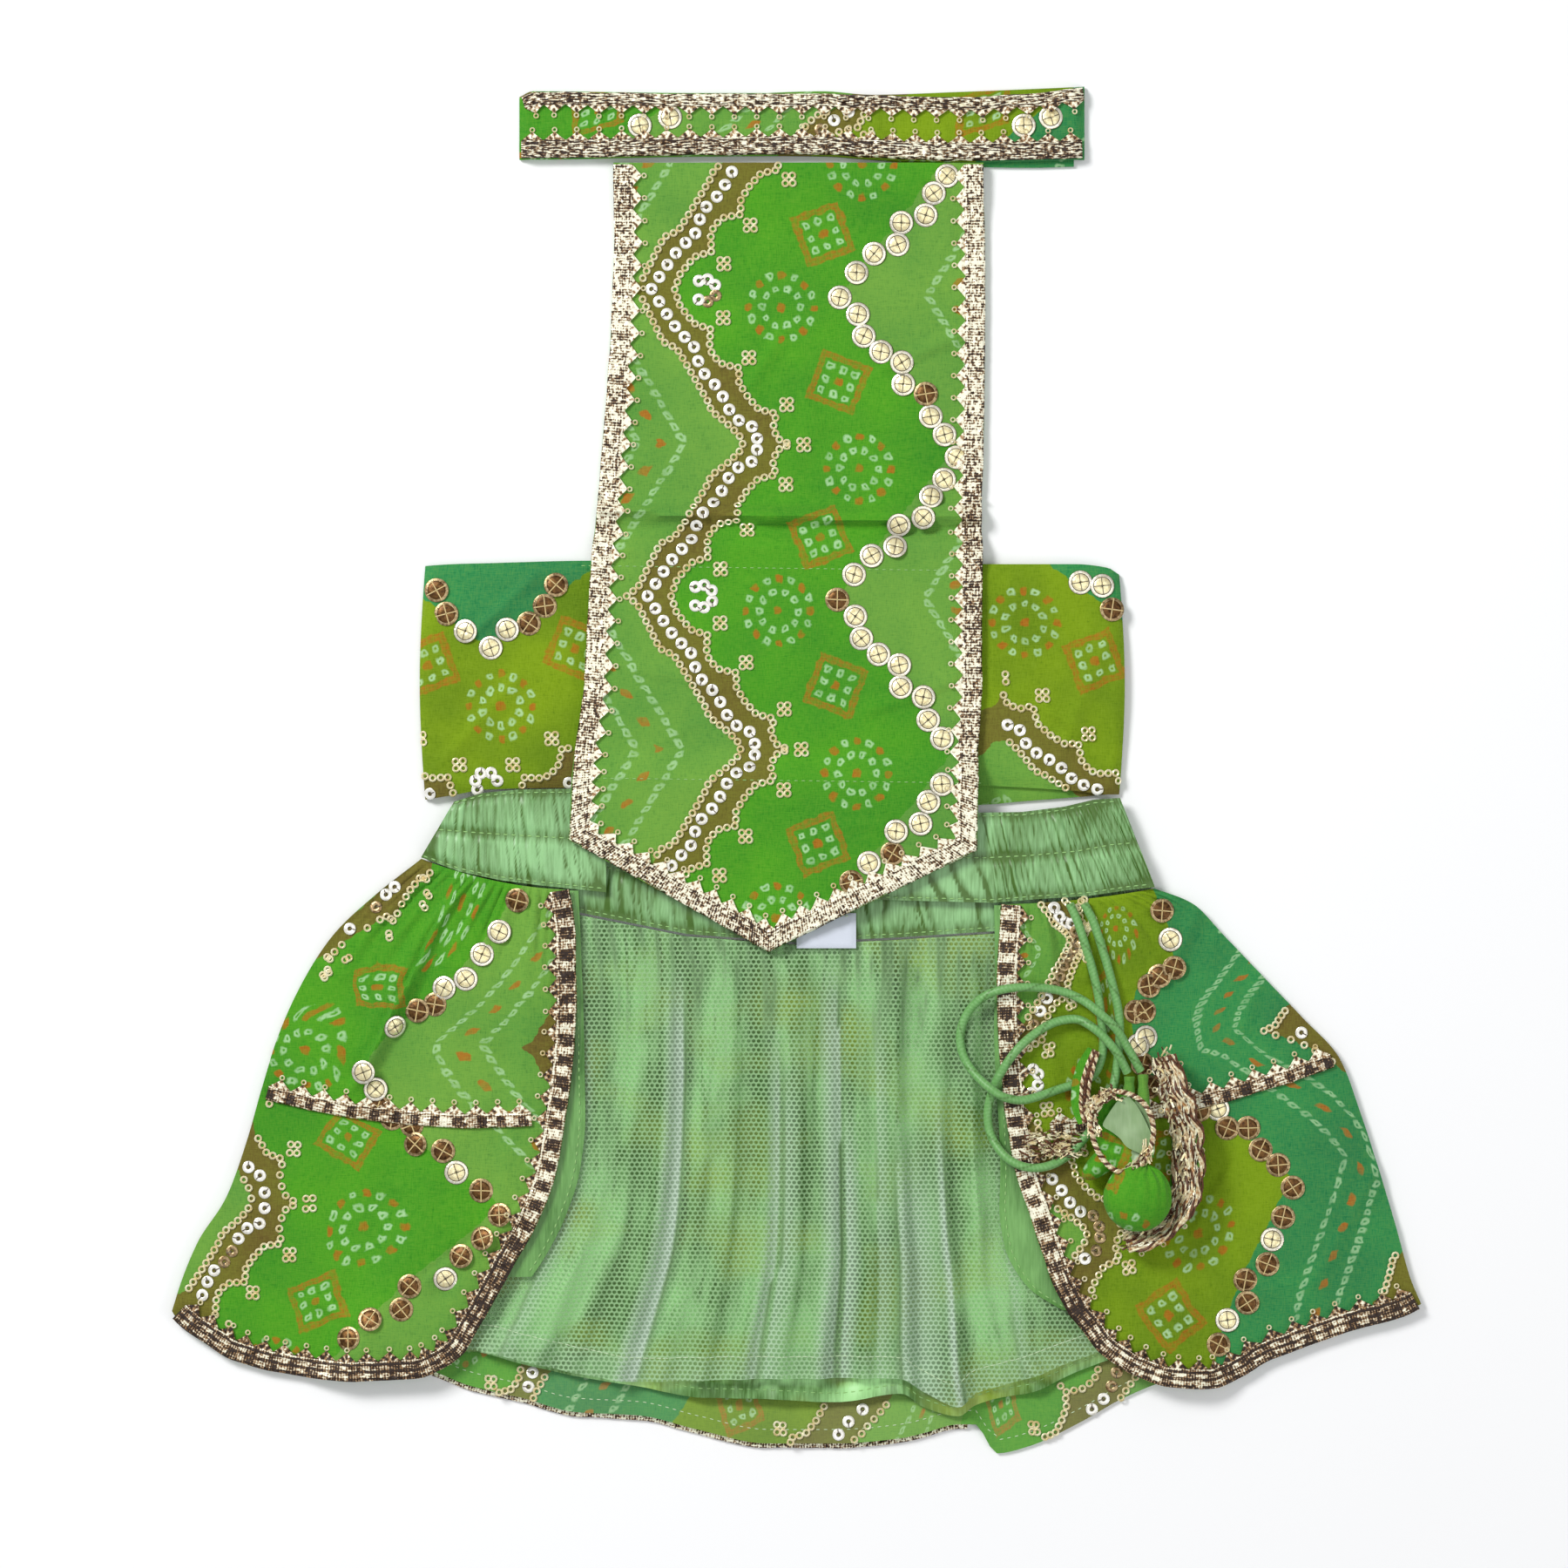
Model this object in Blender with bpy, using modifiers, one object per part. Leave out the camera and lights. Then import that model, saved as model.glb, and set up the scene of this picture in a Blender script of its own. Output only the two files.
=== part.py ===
"""Dog lehenga laid flat: bodice yoke, neck and belly bands, waistband and open skirt.

Sizes are in millimetres. +Y runs from the hem to the neck, +X to the right of the
laid-out garment, and the garment rests on the plane z = 0. The origin lies on that
plane, under the middle of the whole outline.
"""
import math
from collections import namedtuple

import bmesh
import bpy
from mathutils import Matrix, Vector

MM = 0.001

# Cloth, lace and cord
CLOTH = 1.0            # wall of one layer of cloth
BAND_CLOTH = 1.2       # wall of the faced neck and belly bands
LAYER_GAP = 0.3        # clearance between two layers, and at each seam
WAIST_SEAM = 0.7       # clearance of the skirt's layers from the curved waistband
LACE_LIFT = 0.5        # lace above the curved cloth that carries it
LACE_WALL = 1.0
LACE_WIDTH = 5.5       # woven body of the wide gota lace
MID_LACE_WIDTH = 4.0   # woven body of the lace across each skirt front
PICOT = 2.7            # depth of the pointed loops on the lace
PICOT_PITCH = 6.4
CORD_WIDTH = 2.5       # drawstring of piped satin
CORD_SIDES = 2         # bevel resolution, eight sides

# Heights of the undersides of the layers where they lie flat on each other
BAND_FRONT = 1.6
LINING = 1.3
NET = 2.6
FACING = 3.9
FLAP = 5.2
FLAP_ON_NET = 3.9
FLAP_SIDE = 1.3
WAISTBAND_FRONT = 3.2

BAND_CURL = 2.4        # the front of a band bends down over its last millimetres
CURL_FOOT = 0.2        # height of the bent end above the surface
BOW_REACH = 10.0       # the bowed end of the belly band fades out over this length
BACK_INSET = 3.0       # the back of a band ends this far inside its front
UNDER_FLAP = 30.0      # lining and net run on this far beneath a flap
FACING_UNDER = 9.0     # a facing runs on this far beneath its flap
HEM_LACE_WIDTH = 6.0
HEM_LIFT = 1.3         # the back skirt rides over its own hem lace
NECK_LACE_INSET = 3.0  # the neck laces stop short of the band's bent ends
TOP_LACE_WIDTH = 3.2
BOTTOM_LACE_WIDTH = 5.0
BOTTOM_PICOT = 2.4
EDGE_MARGIN = 0.3      # a lace's outer edge inside the edge that carries it
SIDE_MARGIN = 0.8      # the back of the skirt ends this far inside the flaps' sides
KNEE_LEVEL = 114.0     # the yoke's lace bends here, down each side
LACE_PLAY = 3.4        # lace clears the cloth this far along on either side

BandColumn = namedtuple("BandColumn", "across top bottom back_top back_bottom")
NECK_BAND = [
    BandColumn(-79.5, 193.0, 175.0, 192.5, 175.5),
    BandColumn(-75.5, 194.5, 175.0, 194.0, 175.5),
    BandColumn(-28.5, 194.0, 175.8, 193.5, 176.3),
    BandColumn(7.5, 194.0, 176.0, 194.7, 176.0),
    BandColumn(21.5, 193.5, 175.0, 193.7, 175.0),
    BandColumn(46.5, 193.0, 174.2, 194.5, 173.2),
    BandColumn(66.5, 194.0, 174.5, 195.3, 172.8),
    BandColumn(82.5, 196.0, 175.0, 196.0, 173.2),
]
BELLY_BAND = [
    BandColumn(-106.5, 58.5, -8.5, 58.0, -8.0),
    BandColumn(-98.5, 59.0, -7.2, 58.5, -6.7),
    BandColumn(-88.0, 59.3, -5.5, 58.8, -5.2),
    BandColumn(-58.5, 60.0, -5.0, 59.5, -5.0),
    BandColumn(52.5, 59.0, -4.5, 58.5, -10.0),
    BandColumn(64.5, 59.0, -5.0, 58.5, -9.0),
    BandColumn(80.0, 59.0, -6.0, 58.5, -7.8),
    BandColumn(89.0, 58.0, -7.0, 57.5, -7.0),
    BandColumn(92.5, 56.0, -7.0, 55.5, -6.5),
]

# The yoke panel: one row for each level down its length
PanelRow = namedtuple("PanelRow", "level left right lift")
PANEL = [
    PanelRow(174.0, -52.5, 53.5, 1.6),
    PanelRow(168.0, -52.5, 53.5, 1.5),
    PanelRow(152.0, -52.2, 54.0, 0.0),
    PanelRow(121.0, -53.5, 54.0, 0.0),
    PanelRow(90.0, -56.0, 53.5, 0.0),
    PanelRow(77.0, -57.0, 53.0, 0.0),
    PanelRow(73.0, -57.4, 53.0, 2.0),
    PanelRow(69.0, -57.8, 53.0, 0.6),
    PanelRow(64.0, -58.5, 53.3, 3.1),
    PanelRow(41.0, -60.0, 53.0, 3.1),
    PanelRow(23.0, -61.0, 53.0, 3.1),
    PanelRow(6.0, -63.5, 52.0, 3.1),
    PanelRow(-2.0, -64.3, 52.0, 6.6),
]
PANEL_LEFT_CORNER = Vector((-65.0, -20.0))
PANEL_TIP = Vector((-8.0, -52.0))
PANEL_RIGHT_CORNER = Vector((51.5, -23.0))
PANEL_TIP_LIFT = 5.4
PANEL_SAG = 1.8        # the panel sinks between the two fronts of the waistband
PANEL_COLUMNS = [0.0, 0.14, 0.27, 0.38, 0.489, 0.61, 0.73, 0.86, 1.0]

# Each waistband: one row for each station along it, top edge and bottom edge
Station = namedtuple("Station", "top_x top_y bottom_x bottom_y")
WAISTBAND_LEFT = [
    Station(-98.0, -9.0, -107.5, -25.0),
    Station(-90.0, -6.6, -96.5, -29.0),
    Station(-80.0, -5.6, -85.0, -31.5),
    Station(-68.0, -5.4, -73.5, -33.0),
    Station(-54.5, -5.4, -54.5, -35.0),
]
WAISTBAND_RIGHT = [
    Station(18.0, -12.0, 18.0, -37.0),
    Station(52.5, -12.2, 56.0, -38.0),
    Station(64.5, -12.0, 68.0, -37.0),
    Station(76.5, -10.5, 83.5, -36.0),
    Station(85.0, -8.5, 95.0, -34.3),
    Station(92.5, -8.0, 102.5, -33.5),
]
WAISTBAND_BACK = [
    Station(-97.0, -9.2, -106.6, -25.2),
    Station(-86.0, -7.0, -92.0, -31.5),
    Station(-60.0, -12.0, -64.0, -40.5),
    Station(-30.0, -19.0, -31.5, -47.0),
    Station(0.0, -22.0, 0.0, -49.4),
    Station(28.0, -20.0, 28.5, -48.0),
    Station(56.0, -14.5, 60.0, -46.0),
    Station(78.0, -12.0, 85.0, -40.5),
    Station(91.5, -8.8, 101.7, -33.8),
]
# Gathers: how many, how high, and the wall beneath them
Gathers = namedtuple("Gathers", "count wall height")
GATHERS_LEFT = Gathers(14, 2.0, 1.1)
GATHERS_RIGHT = Gathers(19, 2.0, 1.1)
GATHERS_BACK = Gathers(30, 1.8, 0.9)
CHANNEL_SEAMS = (0.0, 0.5, 1.0)      # the gathers are pinched flat at these lines
GATHER_LEVELS = (0.0, 0.12, 0.42, 0.58, 0.88, 1.0)

# The skirt: one row for each station from waist to hem, points (x, y) on its edges
Edges = namedtuple("Edges", "down left_side left_open right_open right_side "
                            "left_facing right_facing left_drop right_drop")
SKIRT = [
    Edges(0.0, (-107.5, -25.4), (-66, -34.2), (59.5, -38.4), (102.5, -33.9), -62.5, 56.5, 1.8, 0.9),
    Edges(0.1, (-121, -36), (-64.5, -44), (58.8, -49), (113, -38), -62.0, 56.7, 2.5, 1.3),
    Edges(0.2, (-133, -47.5), (-64, -57), (58.2, -61), (123, -48), -61.5, 56.8, 3.2, 1.8),
    Edges(0.3, (-142, -61.5), (-64, -70), (58.5, -74), (134, -59.5), -61.0, 56.5, 3.8, 2.5),
    Edges(0.4, (-148.5, -76), (-65, -84), (59.5, -88), (145, -71), -60.7, 57.0, 4.0, 3.0),
    Edges(0.5, (-153.5, -92), (-67, -99), (61.5, -104), (155.5, -82.5), -60.5, 58.0, 4.2, 3.5),
    Edges(0.6, (-157.5, -106), (-69.5, -114), (63.5, -115), (161.5, -98), -62.0, 58.3, 5.5, 6.0),
    Edges(0.7, (-163.5, -122.5), (-74, -127), (67, -125), (167, -115), -66.0, 58.0, 7.2, 9.5),
    Edges(0.8, (-171.5, -135), (-80.5, -139), (70.5, -136), (171.5, -130), -72.0, 59.5, 9.0, 13.5),
    Edges(0.9, (-176.5, -147), (-88.5, -153.5), (74.5, -147.5), (176, -146), -83.0, 66.0, 11.0, 17.5),
    Edges(1.0, (-179, -155), (-95.5, -165.5), (79, -155.5), (179, -153), -95.0, 78.0, 13.0, 21.5),
]
# How the hem of each flap bows, from its side to its opening or back
HemBow = namedtuple("HemBow", "across drop")
HEM_LEFT = [
    HemBow(0.0, 0.0), HemBow(0.012, 0.12), HemBow(0.118, 0.54), HemBow(0.225, 0.85),
    HemBow(0.36, 0.98), HemBow(0.48, 1.0), HemBow(0.60, 0.96), HemBow(0.73, 0.83),
    HemBow(0.85, 0.69), HemBow(0.91, 0.50), HemBow(0.97, 0.21), HemBow(1.0, 0.0),
]
HEM_RIGHT = [
    HemBow(0.0, 0.0), HemBow(0.03, 0.17), HemBow(0.08, 0.48), HemBow(0.13, 0.66),
    HemBow(0.18, 0.80), HemBow(0.28, 0.96), HemBow(0.40, 1.0), HemBow(0.48, 0.87),
    HemBow(0.57, 0.64), HemBow(0.67, 0.48), HemBow(0.82, 0.26), HemBow(0.945, 0.12),
    HemBow(1.0, 0.0),
]
# The hems of the three full layers, at places across the skirt
Hem = namedtuple("Hem", "across outer lining net")
BACK_HEM = [
    Hem(-178.5, -154.8, -151.5, -151.0), Hem(-166.0, -163.0, -160.0, -159.5),
    Hem(-153.5, -167.5, -165.0, -164.0), Hem(-128.5, -171.0, -168.0, -166.5),
    Hem(-108.5, -171.5, -166.5, -166.0), Hem(-93.5, -176.5, -166.5, -166.0),
    Hem(-78.5, -180.0, -170.0, -169.0), Hem(-63.5, -184.0, -173.5, -172.5),
    Hem(-45.0, -185.0, -176.5, -175.0), Hem(-28.5, -189.0, -179.5, -174.5),
    Hem(-8.5, -193.0, -180.0, -174.0), Hem(11.5, -193.0, -181.0, -174.0),
    Hem(30.0, -191.5, -178.5, -174.0), Hem(36.5, -190.0, -182.5, -178.0),
    Hem(46.5, -187.5, -185.0, -182.0), Hem(51.0, -187.5, -182.0, -178.5),
    Hem(57.5, -196.0, -180.0, -176.5), Hem(66.5, -194.0, -178.5, -174.0),
    Hem(81.5, -187.0, -172.0, -168.5), Hem(94.0, -180.0, -168.0, -165.0),
    Hem(106.5, -175.2, -167.0, -165.0), Hem(121.5, -173.0, -166.0, -164.0),
    Hem(141.5, -164.0, -160.0, -158.0), Hem(161.5, -157.0, -154.0, -152.0),
    Hem(179.5, -152.8, -150.0, -148.5),
]
BACK_ROWS = (0.0, 0.25, 0.5, 0.7, 0.86, 0.905, 0.945, 1.0)
LACED_HEM = (-105.0, 49.0)           # the stretch of the back hem that shows its lace

# Folds of net and lining in the opening, by where they reach the hem
Fold = namedtuple("Fold", "hem_x net_rise lining_rise half_width")
FOLDS = [
    Fold(-75, 0.8, 0.3, 4.0), Fold(-65, 1.1, 0.4, 4.0),
    Fold(-52, 2.2, 0.5, 5.0), Fold(-39, 0.9, 0.6, 4.0), Fold(-28, 1.3, 0.6, 4.0),
    Fold(-16, 2.0, 0.6, 4.5), Fold(-5, 1.2, 0.6, 4.0), Fold(7, 2.4, 0.5, 5.0),
    Fold(19, 1.5, 0.6, 4.5), Fold(32, 2.6, 0.6, 5.0), Fold(47, 2.8, 0.6, 5.5),
    Fold(59, 1.0, 0.4, 4.0), Fold(69, 0.9, 0.3, 4.0),
]
LAYER_ROWS = (0.0, 0.12, 0.35, 0.62, 0.85, 0.94, 1.0)

# Creases of each flap: across (0 side, 1 opening) at waist and hem, and their size
Crease = namedtuple("Crease", "at_waist at_hem height half_width reach")
CREASES_LEFT = [
    Crease(0.10, 0.16, 0.9, 0.060, 0.35), Crease(0.22, 0.24, 0.8, 0.050, 0.28),
    Crease(0.345, 0.26, 1.7, 0.075, 0.62), Crease(0.50, 0.52, 0.8, 0.055, 0.22),
    Crease(0.64, 0.66, 0.7, 0.055, 0.20), Crease(0.80, 0.74, 0.7, 0.060, 0.30),
]
CREASES_RIGHT = [
    Crease(0.16, 0.20, 0.6, 0.050, 0.22), Crease(0.33, 0.40, 0.8, 0.060, 0.24),
    Crease(0.48, 0.55, 0.8, 0.060, 0.30), Crease(0.62, 0.66, 1.3, 0.070, 0.55),
    Crease(0.76, 0.78, 0.9, 0.055, 0.40),
]
FLAP_COLUMNS = 20
FLAP_ROWS = (0.0, 0.05, 0.12, 0.2, 0.3, 0.4, 0.5, 0.6, 0.7, 0.8, 0.88, 0.95, 1.0)

# Blank care label, sewn beneath the back of the waistband
LABEL_LEFT, LABEL_RIGHT = 0.0, 17.0
LABEL_TOP, LABEL_BOTTOM = -41.0, -51.0
LABEL_HEIGHTS = (3.1, 3.95)          # on the waistband's gathers, and on the net below

# Drawstring: points along the middle of each end, from the casing to its tassel
DRAWSTRING_OUTER = [
    (78.0, -38.2, 6.9), (80.5, -44.0, 7.4), (83.0, -52.0, 7.4), (85.5, -61.0, 7.3),
    (87.0, -71.0, 7.2), (87.5, -80.0, 7.1), (85.0, -87.0, 6.7), (80.0, -89.6, 6.6),
    (75.0, -91.2, 7.2), (69.5, -93.0, 8.5), (64.0, -94.2, 9.9), (59.0, -93.2, 11.3),
    (55.5, -91.0, 11.2), (52.0, -88.0, 9.0), (49.0, -84.2, 6.7), (47.0, -79.5, 5.9),
    (47.0, -74.0, 5.9), (49.5, -68.5, 6.7), (54.0, -64.4, 8.6), (60.0, -62.4, 9.7),
    (67.0, -62.0, 9.5), (75.0, -63.0, 8.0), (81.0, -65.4, 8.8), (86.0, -69.0, 10.4),
    (91.0, -73.8, 10.1), (94.6, -79.5, 8.5), (98.3, -86.0, 7.2),
]
DRAWSTRING_INNER = [
    (82.2, -38.2, 6.9), (85.0, -44.0, 7.2), (87.6, -52.0, 7.0), (90.2, -61.0, 6.7),
    (92.2, -71.0, 6.5), (92.0, -80.0, 6.7), (91.0, -88.0, 6.9), (89.0, -95.0, 8.0),
    (85.5, -100.5, 8.7), (81.5, -106.0, 7.6), (77.0, -110.5, 7.4), (71.0, -113.2, 9.3),
    (65.0, -113.2, 9.7), (59.5, -110.3, 8.5), (55.8, -105.0, 6.1), (54.6, -99.0, 5.7),
    (55.4, -93.4, 6.6), (57.8, -87.2, 8.9), (62.5, -80.2, 10.1), (68.0, -75.2, 9.0),
    (74.0, -72.0, 7.7), (80.0, -71.2, 8.0), (84.6, -73.6, 9.9), (88.4, -77.0, 10.2),
    (91.8, -81.4, 9.8), (94.4, -86.4, 8.5),
]
CORD_POINTS = 36       # control points along each drawstring tube

# Tassels: a bound head at the end of each cord, a stuffed ball, and cloth cups round them
Head = namedtuple("Head", "name start end start_radius end_radius")
HEADS = [
    Head("tassel_head_front", (98.9, -87.1, 7.1), (99.6, -110.6, 10.6), 1.5, 2.3),
    Head("tassel_head_back", (94.95, -87.5, 8.2), (94.9, -103.6, 8.6), 1.5, 2.0),
]
Ball = namedtuple("Ball", "name centre radii turn")
BALLS = [
    Ball("tassel_ball_front", (97.0, -121.5, 13.6), (10.0, 10.0, 8.2), 0.0),
    Ball("tassel_ball_back", (88.0, -111.0, 9.9), (3.4, 8.4, 4.5), -49.0),
]
Cup = namedtuple("Cup", "name centre neck mouth depth squash tilt turn")
CUPS = [
    Cup("tassel_cup_back", (92.5, -100.5, 14.4), 3.0, 11.5, 5.0, 0.80, (-12.0, -4.0), 12.0),
]
Strip = namedtuple("Strip", "name width stand points")
STRIPS = [
    Strip("tassel_petal_left", 5.0, 1.0, [
        (84.6, -79.8, 8.2), (82.2, -85.0, 8.25), (80.9, -90.5, 8.6), (80.6, -96.0, 10.5),
        (81.6, -100.5, 12.5)]),
    Strip("tassel_cup_front", 9.0, 7.0, [
        (106.5, -82.0, 3.4), (110.0, -92.0, 4.6), (112.6, -103.0, 3.8), (113.2, -113.0, 3.8),
        (111.8, -121.0, 4.2), (108.2, -127.6, 5.0), (102.4, -132.2, 5.6), (96.0, -134.6, 5.6)]),
]

COLOURS = {
    "print": (0.05, 0.38, 0.05), "satin": (0.20, 0.45, 0.18), "net": (0.36, 0.60, 0.38),
    "lace": (0.70, 0.56, 0.38), "label": (0.85, 0.86, 0.90),
}
ROUGHNESS = {"print": 0.8, "satin": 0.4, "net": 0.9, "lace": 0.35, "label": 0.6}


def mix(a, b, share):
    return a + (b - a) * share


def smoothstep(start, end, value):
    share = min(max((value - start) / (end - start), 0.0), 1.0)
    return share * share * (3.0 - 2.0 * share)


def read(rows, column, at, pick=None):
    """A column of a table at any place, on a curve that doesn't overshoot its rows."""
    def cell(index):
        entry = getattr(rows[index], column)
        return entry if pick is None else entry[pick]
    keys = [row[0] for row in rows]
    if keys[0] > keys[-1]:
        at, keys = -at, [-key for key in keys]
    at = min(max(at, keys[0]), keys[-1])
    i = max(k for k in range(len(keys) - 1) if keys[k] <= at)

    def slope(k):
        if k == 0 or k == len(keys) - 1:
            return None
        before = (cell(k) - cell(k - 1)) / (keys[k] - keys[k - 1])
        after = (cell(k + 1) - cell(k)) / (keys[k + 1] - keys[k])
        return 0.0 if before * after <= 0 else 2.0 * before * after / (before + after)
    width = keys[i + 1] - keys[i]
    straight = (cell(i + 1) - cell(i)) / width
    start, end = slope(i), slope(i + 1)
    start = straight if start is None else start
    end = straight if end is None else end
    t = (at - keys[i]) / width
    return ((2 * t**3 - 3 * t**2 + 1) * cell(i) + (t**3 - 2 * t**2 + t) * width * start
            + (3 * t**2 - 2 * t**3) * cell(i + 1) + (t**3 - t**2) * width * end)


def even(count):
    return [i / count for i in range(count + 1)]


def material(kind):
    found = bpy.data.materials.get(kind)
    if found:
        return found
    made = bpy.data.materials.new(kind)
    made.use_nodes = True
    shader = made.node_tree.nodes["Principled BSDF"]
    shader.inputs["Base Color"].default_value = (*COLOURS[kind], 1.0)
    shader.inputs["Roughness"].default_value = ROUGHNESS[kind]
    shader.inputs["Metallic"].default_value = 0.8 if kind == "lace" else 0.0
    return made


def add_object(name, data, kind):
    made = bpy.data.objects.new(name, data)
    data.materials.append(material(kind))
    garment.objects.link(made)
    return made


def cloth(name, kind, across, down, place, wall):
    """A closed sheet: a grid laid by place(u, v), thickened straight up by wall(u, v)."""
    bm = bmesh.new()
    bmesh.ops.create_grid(bm, x_segments=len(across) - 1, y_segments=len(down) - 1, size=0.5)
    spots = {}
    for vert in bm.verts:
        u = across[round((vert.co.x + 0.5) * (len(across) - 1))]
        v = down[round((0.5 - vert.co.y) * (len(down) - 1))]
        spots[vert] = (u, v)
    lifts = {vert: wall(u, v) if callable(wall) else wall for vert, (u, v) in spots.items()}
    for vert, (u, v) in spots.items():
        vert.co = place(u, v)
    under = list(bm.faces)
    top = bmesh.ops.extrude_face_region(bm, geom=under, use_keep_orig=True)["geom"]
    raised = [item for item in top if isinstance(item, bmesh.types.BMVert)]
    by_place = {tuple(round(c, 4) for c in vert.co): lift for vert, lift in lifts.items()}
    for vert in raised:
        vert.co.z += by_place[tuple(round(c, 4) for c in vert.co)]
    bmesh.ops.recalc_face_normals(bm, faces=list(bm.faces))
    bmesh.ops.scale(bm, vec=(MM, MM, MM), verts=list(bm.verts))
    mesh = bpy.data.meshes.new(name)
    bm.to_mesh(mesh)
    bm.free()
    return add_object(name, mesh, kind)


def band(name, table, columns, front, end_bow):
    """One layer of a flat, closed band; the front bends down over the back's ends."""
    inset = 0.0 if front else BACK_INSET
    start, end = table[0].across + inset, table[-1].across - inset
    top, bottom = ("top", "bottom") if front else ("back_top", "back_bottom")

    def place(u, v):
        x = mix(start, end, u)
        y = mix(read(table, top, x), read(table, bottom, x), v)
        bow = end_bow * math.sin(math.pi * v)
        near_end = max(1 - (x - start) / BOW_REACH, 1 - (end - x) / BOW_REACH, 0.0)
        x += bow * near_end * (-1 if u < 0.5 else 1)
        curl = min(x - start + bow, end - x + bow)
        z = mix(CURL_FOOT, BAND_FRONT, smoothstep(0.2, BAND_CURL, curl)) if front else 0.0
        return Vector((x, y, z))
    return cloth(name, "print", columns, (0.0, 0.5, 1.0), place, BAND_CLOTH)


def band_columns(count, length):
    """Even columns, and closer ones where the ends bend down."""
    ends = [0.0, 0.8 / length, 1.6 / length, BAND_CURL / length]
    return sorted(ends + even(count)[1:-1] + [1.0 - e for e in ends])


def panel_width(level):
    return read(PANEL, "left", level), read(PANEL, "right", level)


def panel_lift(x, y):
    """Height of the underside of the yoke panel."""
    last = PANEL[-1]
    if y >= last.level:
        return read(PANEL, "lift", y)
    fall = (last.level - y) / (last.level - PANEL_TIP.y)
    middle = math.sin(math.pi * min(max((x + 52.0) / 68.0, 0.0), 1.0)) ** 2
    sag = PANEL_SAG * middle * math.sin(math.pi * min(fall, 1.0))
    return mix(last.lift, PANEL_TIP_LIFT, smoothstep(0.3, 1.0, fall)) - sag


def panel_point(u, v):
    """Rows 0 to 1 go down to the last row of the table, rows 1 to 2 down to the tip."""
    left, right = PANEL_LEFT_CORNER, PANEL_RIGHT_CORNER
    if v <= 1.0:
        level = v * (len(PANEL) - 1)
        index = min(int(level), len(PANEL) - 2)
        y = mix(PANEL[index].level, PANEL[index + 1].level, level - index)
        start, end = panel_width(y)
        x = mix(start, end, u)
    else:
        tip_share = (PANEL_TIP.x - left.x) / (right.x - left.x)
        if u <= tip_share:
            edge = left.lerp(PANEL_TIP, u / tip_share)
        else:
            edge = PANEL_TIP.lerp(right, (u - tip_share) / (1 - tip_share))
        start, end = panel_width(PANEL[-1].level)
        x = mix(mix(start, end, u), edge.x, v - 1.0)
        y = mix(PANEL[-1].level, edge.y, v - 1.0)
    return Vector((x, y, panel_lift(x, y)))


def station(table, u):
    place = u * (len(table) - 1)
    i = min(int(place), len(table) - 2)
    share = place - i
    ends = [(mix(getattr(table[i], a), getattr(table[i + 1], a), share)) for a in Station._fields]
    return Vector(ends[:2]), Vector(ends[2:])


def waistband(name, table, gathers, height, calm):
    """A gathered band: flat beneath, its ridges pinched flat at the channel seams."""
    columns = even(gathers.count * 2)

    def place(u, v):
        top, bottom = station(table, u)
        spot = top.lerp(bottom, v)
        return Vector((spot.x, spot.y, height))

    def wall(u, v):
        pinch = min(abs(v - seam) for seam in CHANNEL_SEAMS)
        ridge = 1.0 if round(u * gathers.count * 2) % 2 else 0.15
        return gathers.wall + gathers.height * ridge * smoothstep(0.0, 0.1, pinch) * calm(place(u, v).x)
    return cloth(name, "satin", columns, GATHER_LEVELS, place, wall)


def edge(v, name):
    return Vector((read(SKIRT, name, v, 0), read(SKIRT, name, v, 1)))


def flap_point(side, u, v):
    """A place on a flap: u runs from its side edge to its opening edge."""
    start, end = edge(v, side + "_side"), edge(v, side + "_open")
    spot = start.lerp(end, u)
    hem = HEM_LEFT if side == "left" else HEM_RIGHT
    along = u if side == "left" else 1.0 - u
    arch = mix(4 * u * (1 - u), read(hem, "drop", along), smoothstep(0.5, 1.0, v))
    spot.y -= read(SKIRT, side + "_drop", v) * arch
    return spot


def crease_rise(side, u, v):
    rise = 0.0
    for crease in CREASES_LEFT if side == "left" else CREASES_RIGHT:
        if v >= crease.reach:
            continue
        offset = abs(u - mix(crease.at_waist, crease.at_hem, v)) / crease.half_width
        if offset < 1.0:
            fade = smoothstep(0.0, 0.06, v) * (1 - smoothstep(0.3, 1.0, v / crease.reach))
            rise += crease.height * (0.5 + 0.5 * math.cos(math.pi * offset)) * fade
    return rise


def flap_lift(side, u, v):
    """Height of a flap's underside: it lies on facing, net and lining near its opening."""
    start, end = edge(v, side + "_side"), edge(v, side + "_open")
    from_open = (1 - u) * (end - start).length
    past_facing = smoothstep(FACING_UNDER + 4.0, FACING_UNDER + 10.0, from_open)
    past_facing *= 1 - smoothstep(0.78, 0.90, v)
    past_net = smoothstep(UNDER_FLAP + 3.0, UNDER_FLAP + 18.0, from_open)
    base = mix(mix(FLAP, FLAP_ON_NET, past_facing), FLAP_SIDE, past_net)
    return base + crease_rise(side, u, v)


def flap_place(side, u, v):
    spot = flap_point(side, u, v)
    return Vector((spot.x, spot.y, flap_lift(side, u, v)))


def waist_line(x):
    """The lower edge of the back of the waistband, where the skirt's layers start."""
    points = [Vector((row.bottom_x, row.bottom_y)) for row in WAISTBAND_BACK]
    x = min(max(x, points[0].x), points[-1].x)
    i = max(k for k in range(len(points) - 1) if points[k].x <= x)
    share = (x - points[i].x) / (points[i + 1].x - points[i].x)
    return mix(points[i].y, points[i + 1].y, share) - WAIST_SEAM


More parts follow.
